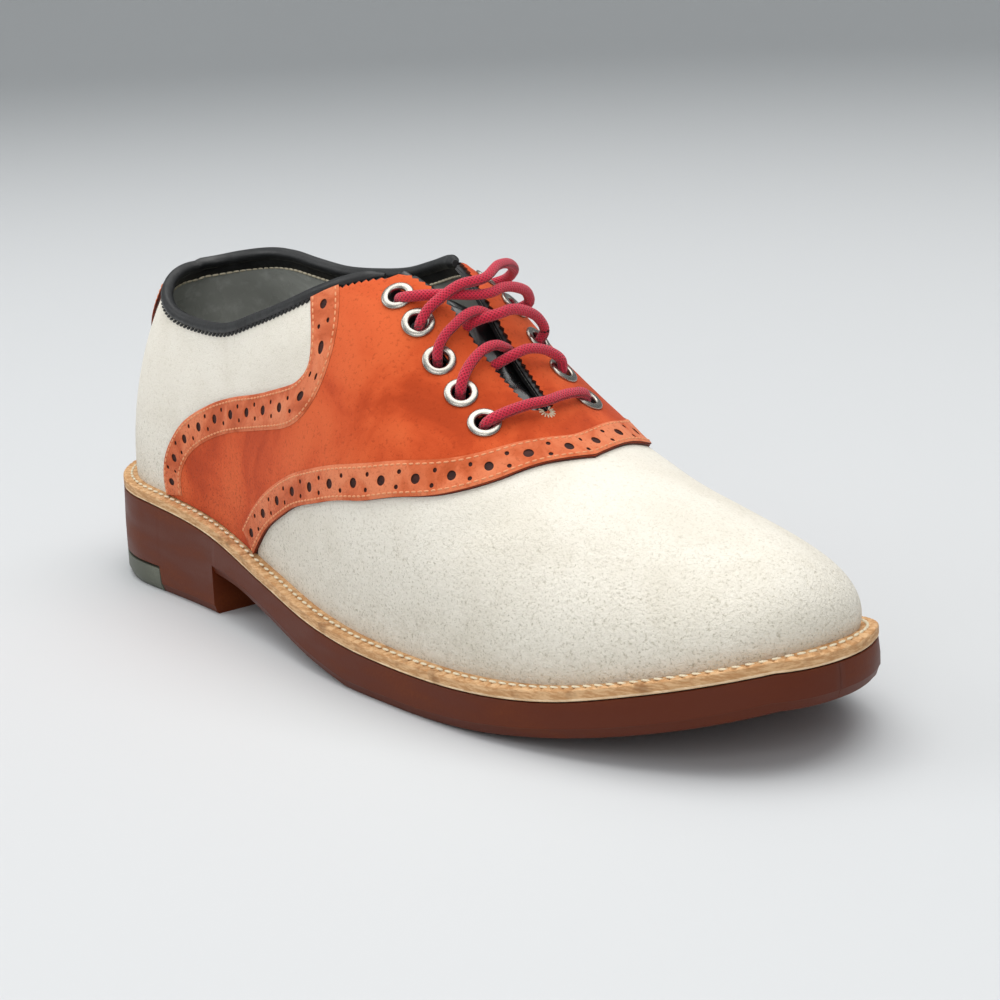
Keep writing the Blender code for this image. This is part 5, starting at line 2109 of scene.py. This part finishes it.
@dataclass(frozen=True)
class Studio:
    """Paper floor, soft lights, and the camera at the photograph's place, aimed at the one shoe.

    Attributes:
        camera: The camera's place.
        yaw: Its direction round Z from +X, in degrees.
        pitch: Its tilt down, in degrees.
        roll: Its roll, in degrees.
        lens: Its focal length in millimetres on a 36 mm frame.
        FRAME: That frame's width.
        AROUND: Corners of the paper's round edge.
        LIGHTS: Name, place, size, power and colour of each light.
    """

    camera: tuple[float, float, float] = (0.6631, -0.4042, 0.2274)
    yaw: float = 142.23
    pitch: float = -15.17
    roll: float = -2.46
    lens: float = 86.0
    FRAME = 36.0
    AROUND = 96
    LIGHTS = (("soft_box", (0.05, 0.15, 1.7), (2.0, 1.6), 27, (1.0, 0.99, 0.97)),
              ("front_fill", (1.4, -1.3, 1.1), (1.4, 1.2), 12, (1.0, 0.99, 0.98)),
              ("side_fill", (-1.1, -1.2, 1.0), (1.4, 1.0), 8, (1.0, 1.0, 1.0)))

    def build(self) -> None:
        """Everything round the shoe."""
        self.build_floor()
        self.build_lights()
        self.build_camera()

    def build_floor(self) -> None:
        """A round sheet of paper that curves up all round, far from the shoe."""
        rings = [(reach, 0.0) for reach in (0.4, 0.8, 1.2, 1.6, 2.0)]
        rings += [(2.0 + 1.2 * math.sin(math.radians(turn)), 1.2 - 1.2 * math.cos(math.radians(turn)))
                  for turn in range(5, 91, 5)]
        rings.append((3.2, 2.6))
        angles = 2 * math.pi * np.arange(self.AROUND) / self.AROUND
        points = [np.zeros((1, 3))]
        points += [np.stack([reach * np.cos(angles), reach * np.sin(angles), np.full(self.AROUND, high)], -1)
                   for reach, high in rings]
        faces = [[0, 1 + step, 1 + (step + 1) % self.AROUND] for step in range(self.AROUND)]
        faces += (grid_faces(len(rings), self.AROUND, wrap=True)[:, ::-1] + 1).tolist()
        mesh = bpy.data.meshes.new("floor")
        mesh.from_pydata(np.concatenate(points).tolist(), [], faces)
        mesh.shade_smooth()
        mesh.materials.append(PaperFloor().material())
        floor = bpy.data.objects.new("floor", mesh)
        bpy.context.scene.collection.objects.link(floor)

    def build_lights(self) -> None:
        """A large soft box overhead, a wide fill in front and a pale room."""
        for name, place, size, power, colour in self.LIGHTS:
            light = bpy.data.lights.new(name, "AREA")
            light.shape = "RECTANGLE"
            light.size, light.size_y = size
            light.energy = power
            light.color = colour
            lamp = bpy.data.objects.new(name, light)
            lamp.location = place
            aim = Vector((0.1, 0.0, 0.04)) - Vector(place)
            lamp.rotation_euler = aim.to_track_quat("-Z", "Y").to_euler()
            bpy.context.scene.collection.objects.link(lamp)
        world = bpy.data.worlds.new("room")
        world.use_nodes = True
        background = world.node_tree.nodes["Background"]
        background.inputs["Color"].default_value = linear("#d6d8d9")
        background.inputs["Strength"].default_value = 0.80
        bpy.context.scene.world = world
        bpy.context.scene.view_settings.view_transform = "Standard"

    def build_camera(self) -> None:
        """The camera, rolled as the photograph is."""
        yaw, pitch, roll = (math.radians(angle) for angle in (self.yaw, self.pitch, self.roll))
        ahead = Vector((math.cos(yaw) * math.cos(pitch), math.sin(yaw) * math.cos(pitch), math.sin(pitch)))
        right = ahead.cross(Vector((0, 0, 1))).normalized()
        up = right.cross(ahead)
        across = math.cos(roll) * right + math.sin(roll) * up
        over = math.cos(roll) * up - math.sin(roll) * right
        lens = bpy.data.cameras.new("camera")
        lens.lens = self.lens
        lens.sensor_width = self.FRAME
        lens.clip_start = 0.01
        camera = bpy.data.objects.new("camera", lens)
        matrix = Matrix((across, over, -ahead)).transposed().to_4x4()
        matrix.translation = Vector(self.camera)
        camera.matrix_world = matrix
        bpy.context.scene.collection.objects.link(camera)
        bpy.context.scene.camera = camera


FOLDS = (
    Fold(Side.LATERAL, ((0.055, 0.66), (0.10, 0.62), (0.16, 0.60), (0.23, 0.64)), 0.8, 6.0),
    Fold(Side.LATERAL, ((0.10, 0.48), (0.17, 0.50), (0.23, 0.56), (0.28, 0.66)), 0.6, 5.0),
    Fold(Side.MEDIAL, ((0.08, 0.70), (0.15, 0.64), (0.24, 0.66)), 0.8, 6.0),
    Fold(Side.LATERAL, ((0.30, 0.30), (0.38, 0.40), (0.45, 0.52)), 0.5, 6.0),
    Fold(Side.LATERAL, ((0.62, 0.42), (0.67, 0.62), (0.72, 0.84)), 0.35, 5.0),
    Fold(Side.LATERAL, ((0.66, 0.34), (0.72, 0.56), (0.77, 0.84)), 0.35, 5.0),
    Fold(Side.MEDIAL, ((0.62, 0.42), (0.68, 0.62), (0.73, 0.84)), 0.35, 5.0),
    Fold(Side.MEDIAL, ((0.40, 0.34), (0.48, 0.46), (0.54, 0.60)), 0.5, 6.0),
)


def main() -> None:
    """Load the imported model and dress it."""
    logging.basicConfig(level=logging.INFO, format="%(name)s: %(message)s")
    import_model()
    last = Last()
    palette = Palette()
    skin = Skin(last, FOLDS)
    bottom = Bottom(last)
    for part in (Upper(skin, palette), Saddle(skin, palette), HeelTab(skin, palette), Collar(skin, palette),
                 Tongue(skin, palette), Eyelets(skin, palette), Lacing(skin, palette), Welt(bottom, palette),
                 RubberSole(bottom, palette), Insole(bottom, palette), Studio()):
        part.build()
        LOG.info("%s built", type(part).__name__)


if __name__ == "__main__":
    main()
